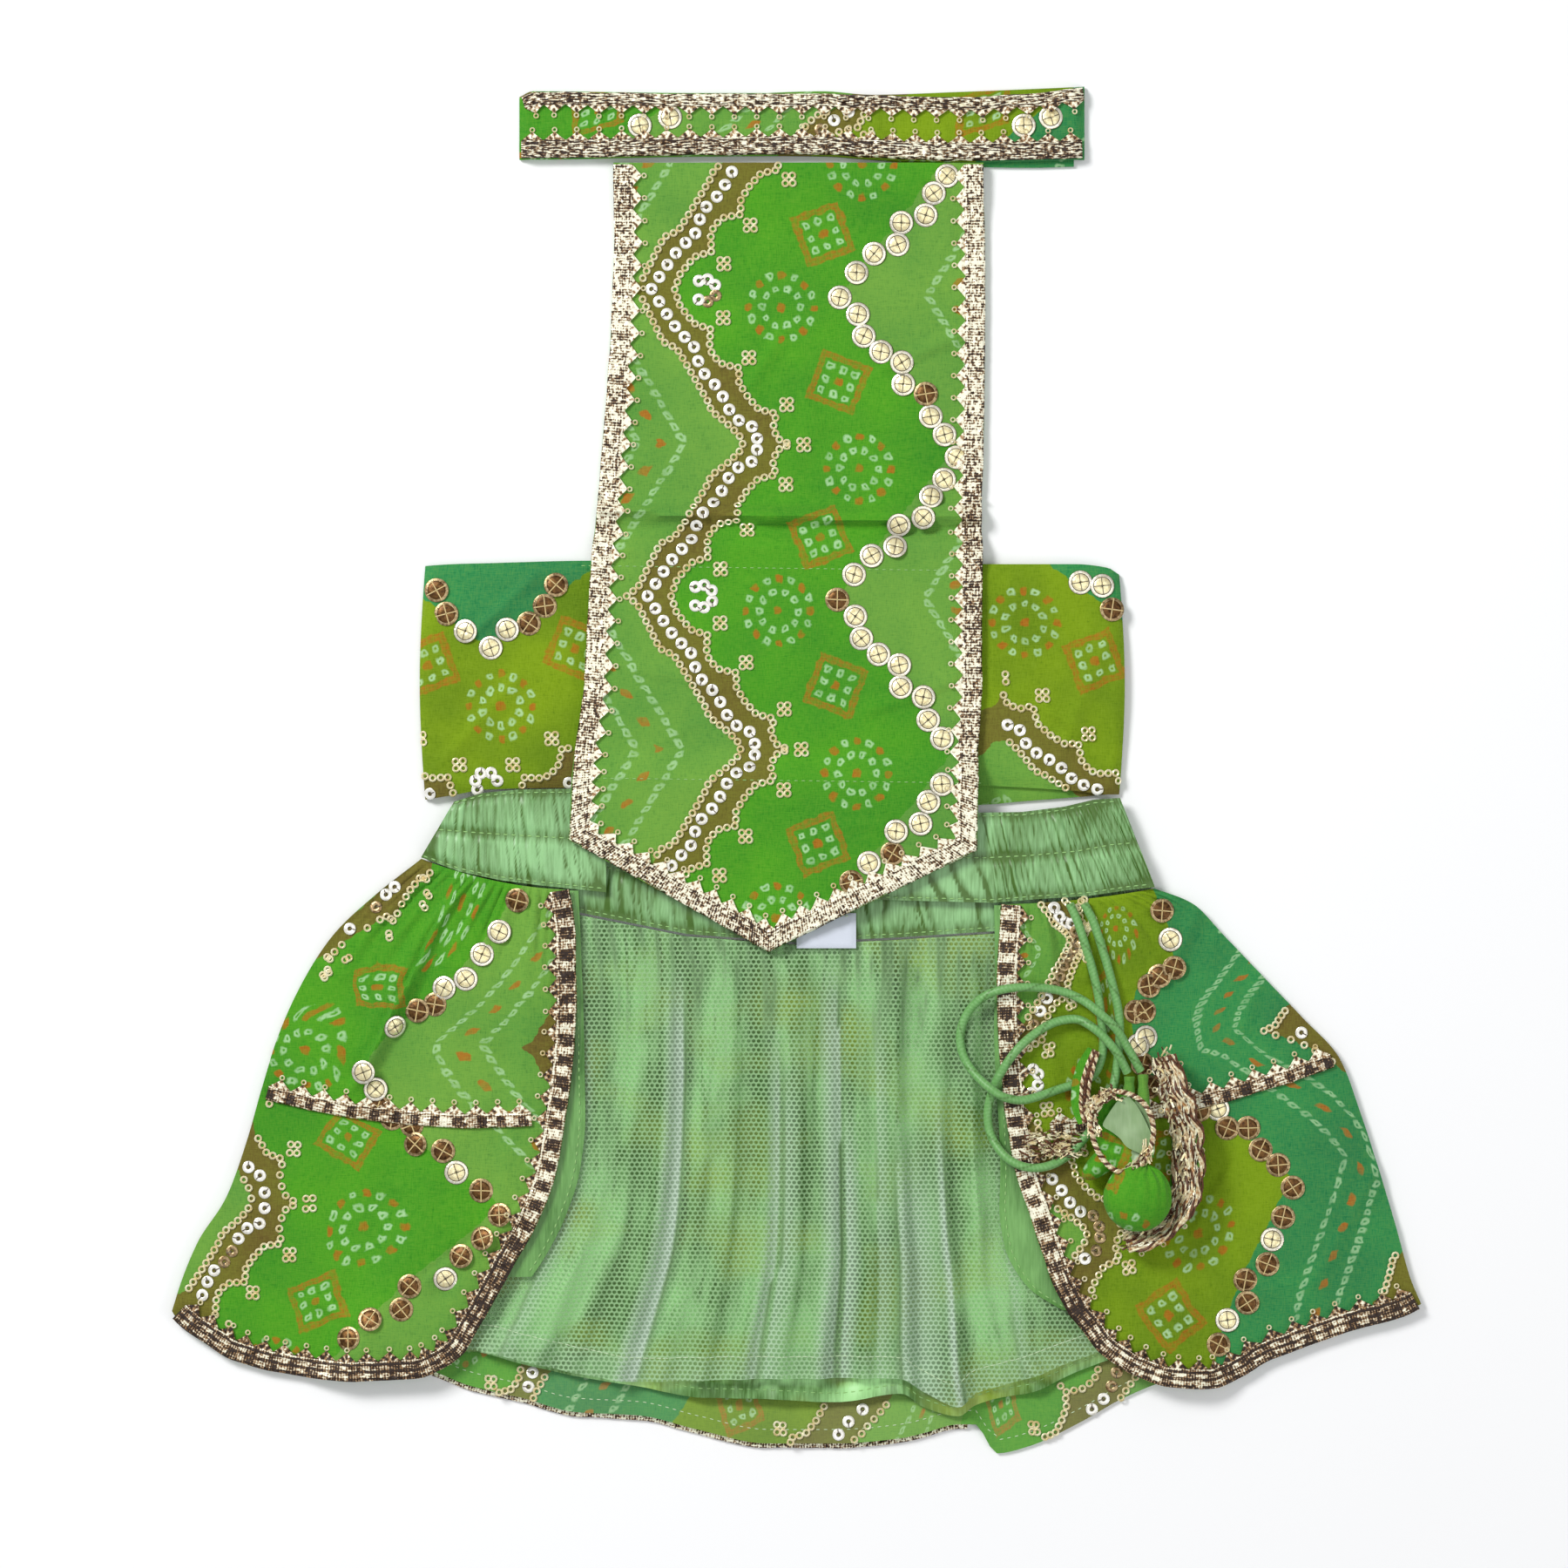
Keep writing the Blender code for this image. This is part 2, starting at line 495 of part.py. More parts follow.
def layer_point(u, v, column, left, right):
    """A place on a full layer of the skirt between the edges left(v) and right(v)."""
    def across(w):
        return left(w).lerp(right(w), u)
    start, end, spot = across(0.0), across(1.0), across(v)
    spot.y += (1 - v) * (waist_line(start.x) - start.y)
    spot.y += v * (read(BACK_HEM, column, end.x) - end.y)
    return spot


def inner_left(v):
    return edge(v, "left_open") - Vector((UNDER_FLAP, 0))


def inner_right(v):
    return edge(v, "right_open") + Vector((UNDER_FLAP, 0))


def outer_left(v):
    return edge(v, "left_side") + Vector((SIDE_MARGIN, 0))


def outer_right(v):
    return edge(v, "right_side") - Vector((SIDE_MARGIN, 0))


def hem_lift(x, y, spread):
    """How far the back of the skirt rides up over its hem lace."""
    from_hem = y - read(BACK_HEM, "outer", x)
    near = 1 - smoothstep(HEM_LACE_WIDTH + 0.8 + spread, HEM_LACE_WIDTH + 5.8 + spread, from_hem)
    laced = smoothstep(LACED_HEM[0] - 9 - spread, LACED_HEM[0] - 1 - spread, x)
    laced *= 1 - smoothstep(LACED_HEM[1] + 1 + spread, LACED_HEM[1] + 7 + spread, x)
    return HEM_LIFT * near * laced


def fold_rise(u, v, column):
    """Rise of the folds; they lie flat again beneath the facings."""
    spot = layer_point(u, v, "net", inner_left, inner_right)
    hem_x = mix(inner_left(1.0).x, inner_right(1.0).x, u)
    free = smoothstep(2.5, 7.0, spot.x - read(SKIRT, "left_facing", v))
    free *= smoothstep(2.5, 7.0, read(SKIRT, "right_facing", v) - spot.x)
    rise = 0.0
    for fold in FOLDS:
        offset = abs(hem_x - fold.hem_x) / fold.half_width
        rise = max(rise, getattr(fold, column) * max(1 - offset, 0.0))
    return rise * free * mix(0.35, 1.0, smoothstep(0.0, 0.8, v)) * smoothstep(0.0, 0.08, v)


def fold_columns():
    """A column at the foot, crest and foot of each fold, and a few beneath the flaps."""
    start, end = inner_left(1.0).x, inner_right(1.0).x
    marks = [start, start + 14, end - 14, end]
    for fold in FOLDS:
        marks += [fold.hem_x - fold.half_width, fold.hem_x, fold.hem_x + fold.half_width]
    marks.sort()
    kept = [marks[0]]
    for mark in marks[1:]:
        if mark - kept[-1] > 0.9:
            kept.append(mark)
    return [(mark - start) / (end - start) for mark in kept]


def lining_place(u, v):
    spot = layer_point(u, v, "lining", inner_left, inner_right)
    return Vector((spot.x, spot.y, LINING + hem_lift(spot.x, spot.y, 6) + fold_rise(u, v, "lining_rise")))


def net_place(u, v):
    spot = layer_point(u, v, "net", inner_left, inner_right)
    lining = hem_lift(spot.x, spot.y, 9) + fold_rise(u, v, "lining_rise")
    return Vector((spot.x, spot.y, NET + lining + fold_rise(u, v, "net_rise")))


def facing_place(side, u, v):
    """The satin facing that shows inside the opening; u runs inwards beneath the flap."""
    inward = -1 if side == "left" else 1
    outer = edge(v, side + "_open")
    x = mix(read(SKIRT, side + "_facing", v), outer.x + inward * FACING_UNDER, u)
    return Vector((x, outer.y - EDGE_MARGIN, FACING))


def lace(name, path, height, width, inwards, picots, pointed=PICOT):
    """A lace strip laid along path(s): a straight woven edge and a row of points."""
    lengths = [0.0]
    fine = [path(s) for s in even(400)]
    for a, b in zip(fine, fine[1:]):
        lengths.append(lengths[-1] + (b - a).length)
    columns = even(picots * 2)

    def at(share):
        goal = share * lengths[-1]
        i = max(k for k in range(len(fine) - 1) if lengths[k] <= goal)
        return i, fine[i].lerp(fine[i + 1], (goal - lengths[i]) / (lengths[i + 1] - lengths[i]))

    def place(u, v):
        i, spot = at(u)
        before, after = fine[max(i - 3, 0)], fine[min(i + 4, len(fine) - 1)]
        along = (after - before).normalized()
        side = Vector((-along.y, along.x)) * inwards
        point = pointed if round(u * picots * 2) % 2 else 0.0
        spot = spot + side * v * (width + point)
        return Vector((spot.x, spot.y, height(spot.x, spot.y, u, v)))
    return cloth(name, "lace", columns, (0.0, 1.0), place, LACE_WALL)


def mitred_lace(name, corners, picots_each, height, width):
    """Lace round the yoke: straight runs between corners, mitred where they turn."""
    spots, tips = [], []
    for run, picots in enumerate(picots_each):
        start, end = corners[run], corners[run + 1]
        for i in range(picots * 2):
            spots.append(start.lerp(end, i / (picots * 2)))
            tips.append(i % 2 == 1)
    spots.append(corners[-1])
    tips.append(False)
    columns = even(len(spots) - 1)

    def place(u, v):
        i = round(u * (len(spots) - 1))
        before = (spots[i] - spots[max(i - 1, 0)]) if i else (spots[1] - spots[0])
        after = (spots[min(i + 1, len(spots) - 1)] - spots[i]) if i < len(spots) - 1 else before
        first, second = before.normalized(), after.normalized()
        side = Vector((-first.y - second.y, first.x + second.x)).normalized()
        reach = (width + (PICOT if tips[i] else 0.0)) / max(side.dot(Vector((-first.y, first.x))), 0.4)
        spot = spots[i] + side * reach * v
        return Vector((spot.x, spot.y, height(spot.x, spot.y)))
    return cloth(name, "lace", columns, (0.0, 1.0), place, LACE_WALL)


def smooth_route(points, count):
    """Evenly spread points on a smooth curve through the route's own points."""
    knots = [Vector(point) for point in points]
    knots = [2 * knots[0] - knots[1]] + knots + [2 * knots[-1] - knots[-2]]
    fine = []
    for i in range(1, len(knots) - 2):
        a, b, c, d = knots[i - 1:i + 3]
        for t in even(12)[:-1]:
            fine.append(0.5 * (2 * b + (c - a) * t + (2 * a - 5 * b + 4 * c - d) * t**2
                               + (3 * b - a - 3 * c + d) * t**3))
    fine.append(knots[-2])
    lengths = [0.0]
    for a, b in zip(fine, fine[1:]):
        lengths.append(lengths[-1] + (b - a).length)
    spread = []
    for share in even(count - 1):
        goal = share * lengths[-1]
        i = max(k for k in range(len(fine) - 1) if lengths[k] <= goal)
        spread.append(fine[i].lerp(fine[i + 1], (goal - lengths[i]) / (lengths[i + 1] - lengths[i])))
    return spread


def drawstring(name, points):
    curve = bpy.data.curves.new(name, "CURVE")
    curve.dimensions = "3D"
    curve.bevel_depth = CORD_WIDTH / 2 * MM
    curve.bevel_resolution = CORD_SIDES
    curve.use_fill_caps = True
    spline = curve.splines.new("POLY")
    route = smooth_route(points, CORD_POINTS)
    spline.points.add(len(route) - 1)
    for point, spot in zip(spline.points, route):
        point.co = (*(spot * MM), 1.0)
    return add_object(name, curve, "satin")


def ball(spec):
    bm = bmesh.new()
    bmesh.ops.create_uvsphere(bm, u_segments=16, v_segments=10, radius=1.0)
    bmesh.ops.scale(bm, vec=Vector(spec.radii) * MM, verts=list(bm.verts))
    turn = Matrix.Rotation(math.radians(spec.turn), 4, "Z")
    bmesh.ops.transform(bm, matrix=Matrix.Translation(Vector(spec.centre) * MM) @ turn, verts=list(bm.verts))
    mesh = bpy.data.meshes.new(spec.name)
    bm.to_mesh(mesh)
    bm.free()
    return add_object(spec.name, mesh, "print")


def head(spec):
    """The bound head of a tassel: a short cord that widens towards its ball."""
    curve = bpy.data.curves.new(spec.name, "CURVE")
    curve.dimensions = "3D"
    curve.bevel_depth = MM
    curve.bevel_resolution = CORD_SIDES
    curve.use_fill_caps = True
    spline = curve.splines.new("POLY")
    shares = even(3)
    spline.points.add(len(shares) - 1)
    for point, share in zip(spline.points, shares):
        point.co = (*(Vector(spec.start).lerp(Vector(spec.end), share) * MM), 1.0)
        point.radius = mix(spec.start_radius, spec.end_radius, share)
    return add_object(spec.name, curve, "print")


def cup(spec):
    """A flared cloth cup: an open cone, thickened."""
    bm = bmesh.new()
    bmesh.ops.create_cone(bm, cap_ends=False, segments=20, radius1=spec.neck * MM,
                          radius2=spec.mouth * MM, depth=spec.depth * MM)
    bmesh.ops.scale(bm, vec=(spec.squash, 1.0, 1.0), verts=list(bm.verts))
    tilt = Matrix.Rotation(math.radians(spec.tilt[0]), 4, "X")
    tilt = Matrix.Rotation(math.radians(spec.tilt[1]), 4, "Y") @ tilt
    turn = Matrix.Rotation(math.radians(spec.turn), 4, "Z")
    place = Matrix.Translation(Vector(spec.centre) * MM)
    bmesh.ops.transform(bm, matrix=place @ turn @ tilt, verts=list(bm.verts))
    mesh = bpy.data.meshes.new(spec.name)
    bm.to_mesh(mesh)
    bm.free()
    made = add_object(spec.name, mesh, "print")
    wall = made.modifiers.new("cloth", "SOLIDIFY")
    wall.thickness = CLOTH * MM
    wall.offset = 1.0
    return made


def strip(spec):
    """A curved petal of cloth that stands on its edge along a path."""
    route = smooth_route(spec.points, 13)
    columns = even(len(route) - 1)

    def place(u, v):
        i = round(u * (len(route) - 1))
        along = (route[min(i + 1, len(route) - 1)] - route[max(i - 1, 0)]).normalized()
        side = Vector((-along.y, along.x, 0)).normalized()
        taper = math.sin(math.pi * mix(0.12, 0.88, u)) ** 0.5
        spot = route[i] - side * spec.width * taper * (v - 0.5)
        spot.z += spec.stand * taper * (1 - v) ** 1.5
        return spot
    return cloth(spec.name, "print", columns, (0.0, 0.33, 0.66, 1.0), place, CLOTH)


def build_bodice():
    band("neck_band_back", NECK_BAND, even(8), False, 0.0)
    band("neck_band_front", NECK_BAND, band_columns(8, 162), True, 0.0)
    band("belly_band_back", BELLY_BAND, even(10), False, 1.0)
    band("belly_band_front", BELLY_BAND, band_columns(10, 199), True, 1.5)
    rows = [i / (len(PANEL) - 1) for i in range(len(PANEL))] + [1.35, 1.7, 2.0]
    cloth("chest_panel", "print", PANEL_COLUMNS, rows, panel_point, BAND_CLOTH)
    upper = BAND_FRONT + BAND_CLOTH + LAYER_GAP

    def on_band(x, y, u, v):
        return upper
    front = NECK_BAND[0].across + NECK_LACE_INSET, NECK_BAND[-1].across - NECK_LACE_INSET
    picots = round((front[1] - front[0]) / PICOT_PITCH)

    def top_path(share):
        x = mix(*front, share)
        return Vector((x, read(NECK_BAND, "top", x) - EDGE_MARGIN))

    def bottom_path(share):
        x = mix(*front, share)
        return Vector((x, read(NECK_BAND, "bottom", x) - EDGE_MARGIN))
    lace("neck_lace_top", top_path, on_band, TOP_LACE_WIDTH, -1, picots)
    lace("neck_lace_bottom", bottom_path, on_band, BOTTOM_LACE_WIDTH, 1, picots, BOTTOM_PICOT)
    top_left = Vector((PANEL[0].left, PANEL[0].level - 2 * EDGE_MARGIN))
    top_right = Vector((PANEL[0].right, PANEL[0].level - 2 * EDGE_MARGIN))
    knee_left, knee_right = (Vector((x, KNEE_LEVEL)) for x in panel_width(KNEE_LEVEL))
    corners = [top_left, knee_left, PANEL_LEFT_CORNER, PANEL_TIP, PANEL_RIGHT_CORNER, knee_right, top_right]
    runs = [round((b - a).length / PICOT_PITCH) for a, b in zip(corners, corners[1:])]

    def on_panel(x, y):
        around = max(panel_lift(x, y + step) for step in (-LACE_PLAY, 0.0, LACE_PLAY))
        return around + BAND_CLOTH + LACE_LIFT
    mitred_lace("panel_lace", corners, runs, on_panel, LACE_WIDTH)


def build_waistbands():
    def under_panel_left(x):
        return 1.0 - smoothstep(-72.0, -66.0, x)

    def under_panel_right(x):
        return smoothstep(53.0, 58.0, x)
    waistband("waistband_back", WAISTBAND_BACK, GATHERS_BACK, 0.0, lambda x: 1.0)
    waistband("waistband_front_left", WAISTBAND_LEFT, GATHERS_LEFT, WAISTBAND_FRONT, under_panel_left)
    waistband("waistband_front_right", WAISTBAND_RIGHT, GATHERS_RIGHT, WAISTBAND_FRONT, under_panel_right)

    def label_place(u, v):
        return Vector((mix(LABEL_LEFT, LABEL_RIGHT, u), mix(LABEL_TOP, LABEL_BOTTOM, v), mix(*LABEL_HEIGHTS, v)))
    cloth("care_label", "label", even(2), even(2), label_place, CLOTH)


def build_skirt():
    def outer_place(u, v):
        spot = layer_point(u, v, "outer", outer_left, outer_right)
        return Vector((spot.x, spot.y, hem_lift(spot.x, spot.y, 0)))
    start, end = outer_left(1.0).x, outer_right(1.0).x
    columns = [(min(max(row.across, start), end) - start) / (end - start) for row in BACK_HEM]
    cloth("skirt_back_outer", "print", columns, BACK_ROWS, outer_place, CLOTH)

    def hem_path(share):
        x = mix(*LACED_HEM, share)
        return Vector((x, read(BACK_HEM, "outer", x) - EDGE_MARGIN))
    lace("back_hem_lace", hem_path, lambda x, y, u, v: 0.0, HEM_LACE_WIDTH, 1, 12, 0.0)
    columns = fold_columns()
    cloth("skirt_lining", "satin", columns, LAYER_ROWS, lining_place, CLOTH)
    cloth("skirt_net", "net", columns, LAYER_ROWS, net_place, CLOTH)
    for side, reach in (("left", 0.84), ("right", 0.985)):
        build_front(side, reach)


def build_front(side, facing_reach):
    cloth("front_facing_" + side, "satin", even(2), [reach * facing_reach for reach in even(9)],
          lambda u, v: facing_place(side, u, v), CLOTH)
    cloth("front_outer_" + side, "print", even(FLAP_COLUMNS), FLAP_ROWS,
          lambda u, v: flap_place(side, u, v), CLOTH)
    inwards = -1 if side == "left" else 1

    def border(share):
        """Down the opening and round along the hem to the side."""
        if share < 0.55:
            return flap_point(side, 1.0, share / 0.55)
        return flap_point(side, 1.0 - (share - 0.55) / 0.45 * 0.99, 1.0)

    def lift_at(x, y):
        return nearest_lift(side, x, y) + CLOTH + LACE_LIFT
    lace("border_lace_" + side, border, lambda x, y, u, v: lift_at(x, y), LACE_WIDTH, inwards, 37)
    across = (0.015, 0.90) if side == "left" else (0.015, 0.88)

    def middle(share):
        return flap_point(side, mix(*across, share), 0.5) - Vector((0, MID_LACE_WIDTH / 2))
    upwards = 1 if side == "left" else -1
    lace("middle_lace_" + side, middle, lambda x, y, u, v: lift_at(x, y), MID_LACE_WIDTH, upwards, 13)


def nearest_lift(side, x, y):
    """The highest underside of the flap around a spot, found on a fine grid of places."""
    if side not in flap_samples:
        flap_samples[side] = [(flap_point(side, u, v), flap_lift(side, u, v))
                              for u in even(60) for v in even(70)]
    spot = Vector((x, y))
    ranked = sorted((((place - spot).length, lift) for place, lift in flap_samples[side]))[:4]
    return max(lift for _, lift in ranked)


def build_drawstring():
    drawstring("drawstring_outer", DRAWSTRING_OUTER)
    drawstring("drawstring_inner", DRAWSTRING_INNER)
    for spec in HEADS:
        head(spec)
    for spec in BALLS:
        ball(spec)
    for spec in CUPS:
        cup(spec)
    for spec in STRIPS:
        strip(spec)


for leftover in list(bpy.data.objects):
    bpy.data.objects.remove(leftover, do_unlink=True)
garment = bpy.data.collections.new("dog lehenga")
bpy.context.scene.collection.children.link(garment)
flap_samples = {}
build_bodice()
build_waistbands()
build_skirt()
build_drawstring()
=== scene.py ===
import random
from collections import namedtuple
from functools import lru_cache
from math import atan2, cos, exp, pi, radians, sin

import bmesh
import bpy
import numpy as np
from mathutils import Matrix, Vector, noise
from mathutils.bvhtree import BVHTree


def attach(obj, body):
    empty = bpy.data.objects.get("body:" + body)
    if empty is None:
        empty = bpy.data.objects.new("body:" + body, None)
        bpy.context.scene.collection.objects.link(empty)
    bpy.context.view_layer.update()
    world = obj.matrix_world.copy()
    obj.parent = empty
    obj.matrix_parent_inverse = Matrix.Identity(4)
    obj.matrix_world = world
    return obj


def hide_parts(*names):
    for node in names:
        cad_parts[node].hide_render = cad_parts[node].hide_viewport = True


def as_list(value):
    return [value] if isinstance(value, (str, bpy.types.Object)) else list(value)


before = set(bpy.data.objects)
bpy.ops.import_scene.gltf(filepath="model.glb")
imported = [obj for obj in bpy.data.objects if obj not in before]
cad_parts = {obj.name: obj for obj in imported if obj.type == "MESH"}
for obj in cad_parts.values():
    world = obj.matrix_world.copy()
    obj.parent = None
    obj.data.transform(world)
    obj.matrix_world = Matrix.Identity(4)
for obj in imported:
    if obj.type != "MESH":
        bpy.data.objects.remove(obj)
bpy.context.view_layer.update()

# The garment lies on a pale table under soft studio light and is seen from straight
# above. Lengths in this file are in millimetres unless a name says otherwise; one pixel
# of the 1800-pixel frame is a quarter of a millimetre on the table.
MM = 0.001
PIXEL = 0.25
ORIGIN_PIXEL = (914.5, 884.0)       # where the garment's origin lies in the frame
CAMERA_HEIGHT = 1.6                 # metres
FRAME_WIDTH = 1800 * PIXEL * MM     # metres
TABLE_HALF, TABLE_DROP = 1.5, 0.0003    # metres; the drop keeps it clear of the cloth


def spot_of(pixel_x, pixel_y):
    """A place on the garment, from its place in the 1800-pixel frame."""
    return (pixel_x - ORIGIN_PIXEL[0]) * PIXEL, (ORIGIN_PIXEL[1] - pixel_y) * PIXEL


def placed(name, data):
    """A new object, put in the scene."""
    thing = bpy.data.objects.new(name, data)
    bpy.context.scene.collection.objects.link(thing)
    return thing


def mesh_of(name, bm):
    """The bmesh as a mesh; the bmesh itself is let go."""
    mesh = bpy.data.meshes.new(name)
    bm.to_mesh(mesh)
    bm.free()
    return mesh


middle = Vector((*spot_of(900, 900), 0.0)) * MM
camera = placed("camera", bpy.data.cameras.new("camera"))
camera.data.lens = camera.data.sensor_width * CAMERA_HEIGHT / FRAME_WIDTH
camera.location = middle + Vector((0, 0, CAMERA_HEIGHT))
bpy.context.scene.camera = camera

bm = bmesh.new()
bmesh.ops.create_grid(bm, x_segments=1, y_segments=1, size=TABLE_HALF)
bmesh.ops.translate(bm, vec=(0, 0, -TABLE_DROP), verts=list(bm.verts))
table = placed("table", mesh_of("table", bm))
table_paint = bpy.data.materials.new("pale_table")
table_paint.use_nodes = True
paint = table_paint.node_tree.nodes["Principled BSDF"]
paint.inputs["Base Color"].default_value = (0.97, 0.97, 0.97, 1.0)
paint.inputs["Roughness"].default_value = 0.9
table.data.materials.append(table_paint)

Lamp = namedtuple("Lamp", "name place size power")
for lamp in (Lamp("window_light", (-0.9, 0.8, 1.2), 0.5, 22.0),
             Lamp("overhead_light", (0.3, -0.2, 2.2), 1.4, 9.0),
             Lamp("side_light", (1.2, -0.7, 0.9), 0.6, 4.0)):
    light = placed(lamp.name, bpy.data.lights.new(lamp.name, "AREA"))
    light.data.size, light.data.energy = lamp.size, lamp.power
    light.location, light.rotation_mode = lamp.place, "QUATERNION"
    light.rotation_quaternion = (middle - Vector(lamp.place)).to_track_quat("-Z", "Y")
world = bpy.data.worlds.new("studio")
world.use_nodes = True
world.node_tree.nodes["Background"].inputs["Color"].default_value = (0.95, 0.97, 1.0, 1.0)
world.node_tree.nodes["Background"].inputs["Strength"].default_value = 0.34
bpy.context.scene.world = world
bpy.context.scene.view_settings.view_transform = "Standard"

# The drawstring: both ends of one piped satin cord, a bias strip turned inside out so that
# its seam winds round it. It comes out of the waistband's casing, and each end runs down
# beneath the tassels, turns back out as a loop and ends in its tassel's bound head.
CORD_WIDTH = 2.5
CORD_STEP = 0.55        # length of one ring of the tube's mesh
CORD_SIDES = 12
TURN = 13.0             # the piping's seam goes once round in this length
TWILL = 1.1             # from one ply of its twist to the next
Route = namedtuple("Route", "name node points")
DRAWSTRING = [
    Route("cord_outer", "drawstring_outer", [
        (78, -38.2, 6.9), (80.5, -44, 7.4), (83, -52, 7.4), (85.5, -61, 7.3), (87, -71, 7.2),
        (87.5, -80, 7.1), (85, -87, 6.7), (80, -89.6, 6.6), (75, -91.2, 7.2), (69.5, -93, 8.5),
        (64, -94.2, 9.9), (59, -93.2, 11.3), (55.5, -91, 11.2), (52, -88, 9), (49, -84.2, 6.7),
        (47, -79.5, 5.9), (47, -74, 5.9), (49.5, -68.5, 6.7), (54, -64.4, 8.6), (60, -62.4, 9.7),
        (67, -62, 9.5), (75, -63, 8), (81, -65.4, 8.8), (86, -69, 10.4), (91, -73.8, 10.1),
        (94.6, -79.5, 8.5), (98.3, -86, 7.2)]),
    Route("cord_inner", "drawstring_inner", [
        (82.2, -38.2, 6.9), (85, -44, 7.2), (87.6, -52, 7), (90.2, -61, 6.7), (92.2, -71, 6.5),
        (92, -80, 6.7), (91, -88, 6.9), (89, -95, 8), (85.5, -100.5, 8.7), (81.5, -106, 7.6),
        (77, -110.5, 7.4), (71, -113.2, 9.3), (65, -113.2, 9.7), (59.5, -110.3, 8.5),
        (55.8, -105, 6.1), (54.6, -99, 5.7), (55.4, -93.4, 6.6), (57.8, -87.2, 8.9),
        (62.5, -80.2, 10.1), (68, -75.2, 9), (74, -72, 7.7), (80, -71.2, 8), (84.6, -73.6, 9.9),
        (88.4, -77, 10.2), (91.8, -81.4, 9.8), (94.4, -86.4, 8.5)]),
]


def even(count):
    return [i / count for i in range(count + 1)]


def rows_of(kind, *rows):
    """A table: its rows, each with the names of its kind."""
    return [kind(*row) for row in rows]


def mix(a, b, share):
    return a + (b - a) * share


def smoothstep(start, end, value):
    share = min(max((value - start) / (end - start), 0.0), 1.0)
    return share * share * (3.0 - 2.0 * share)


def lengths_along(line):
    """How far along a line of points each one lies."""
    lengths = [0.0]
    for a, b in zip(line, line[1:]):
        lengths.append(lengths[-1] + (b - a).length)
    return lengths


def stretch_at(lengths, goal):
    """The stretch of a line that a length along it falls in, and its share of that stretch."""
    i = min(max(int(np.searchsorted(lengths, goal)) - 1, 0), len(lengths) - 2)
    return i, (goal - lengths[i]) / (lengths[i + 1] - lengths[i])


def smooth_route(points, step):
    """Evenly spread points on a smooth curve through the route's own points."""
    knots = [Vector(point) for point in points]
    knots = [2 * knots[0] - knots[1]] + knots + [2 * knots[-1] - knots[-2]]
    fine = []
    for i in range(1, len(knots) - 2):
        a, b, c, d = knots[i - 1:i + 3]
        for t in even(12)[:-1]:
            fine.append(0.5 * (2 * b + (c - a) * t + (2 * a - 5 * b + 4 * c - d) * t**2
                               + (3 * b - a - 3 * c + d) * t**3))
    fine.append(knots[-2])
    lengths, spread = lengths_along(fine), []
    for share in even(round(lengths[-1] / step)):
        i, q = stretch_at(lengths, share * lengths[-1])
        spread.append(fine[i].lerp(fine[i + 1], q))
    return spread


def grid_mesh(columns, rows, place, uv=None, wall=None):
    """A bmesh in millimetres: a grid laid by place(u, v), with a wall raised on it.

    uv(u, v) gives each corner's place in the map that the finish reads.
    """
    bm = bmesh.new()
    bmesh.ops.create_grid(bm, x_segments=columns, y_segments=rows, size=0.5)
    share = bm.verts.layers.float_vector.new("share")
    for vert in bm.verts:
        vert[share] = (vert.co.x + 0.5, 0.5 - vert.co.y, 0.0)
    under = list(bm.verts)
    raised = []
    if wall:
        made = bmesh.ops.extrude_face_region(bm, geom=list(bm.faces), use_keep_orig=True)
        raised = [item for item in made["geom"] if isinstance(item, bmesh.types.BMVert)]
    for vert in under:
        vert.co = place(*vert[share][:2])
    for vert in raised:
        u, v = vert[share][:2]
        vert.co = place(u, v)
        vert.co.z += wall(u, v) if callable(wall) else wall
    if uv:
        layer = bm.loops.layers.uv.new("thread")
        for face in bm.faces:
            for loop in face.loops:
                loop[layer].uv = uv(*loop.vert[share][:2])
    bmesh.ops.recalc_face_normals(bm, faces=list(bm.faces))
    return bm


def finished(name, bm, finish, sharp=50):
    """The bmesh, brought to metres, as a smooth-shaded piece of the garment."""
    bmesh.ops.scale(bm, vec=(MM, MM, MM), verts=list(bm.verts))
    mesh = mesh_of(name, bm)
    mesh.shade_smooth()
    mesh.set_sharp_from_angle(angle=radians(sharp))
    for one in finish if isinstance(finish, list) else [finish]:
        mesh.materials.append(one)
    piece = placed(name, mesh)
    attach(piece, "root")
    return piece


def tube_mesh(route, radius, uv_turn, sides=CORD_SIDES):
    """A closed tube along a route, with a seam that winds round it."""
    rings = len(route) - 1
    frames, side = [], Vector((0, 0, 1))
    for i, spot in enumerate(route):
        along = (route[min(i + 1, rings)] - route[max(i - 1, 0)]).normalized()
        side = (side - along * side.dot(along)).normalized()
        frames.append((spot, side, along.cross(side)))

    def place(u, v):
        spot, side, up = frames[round(u * rings)]
        angle = 2 * pi * v
        reach = radius(u, v)
        return spot + side * cos(angle) * reach + up * sin(angle) * reach
    length = lengths_along(route)[-1]
    bm = grid_mesh(rings, sides, place, lambda u, v: (u * length / uv_turn, v))
    bmesh.ops.remove_doubles(bm, verts=list(bm.verts), dist=0.001)
    bmesh.ops.holes_fill(bm, edges=[edge for edge in bm.edges if edge.is_boundary], sides=0)
    bmesh.ops.recalc_face_normals(bm, faces=list(bm.faces))
    return bm


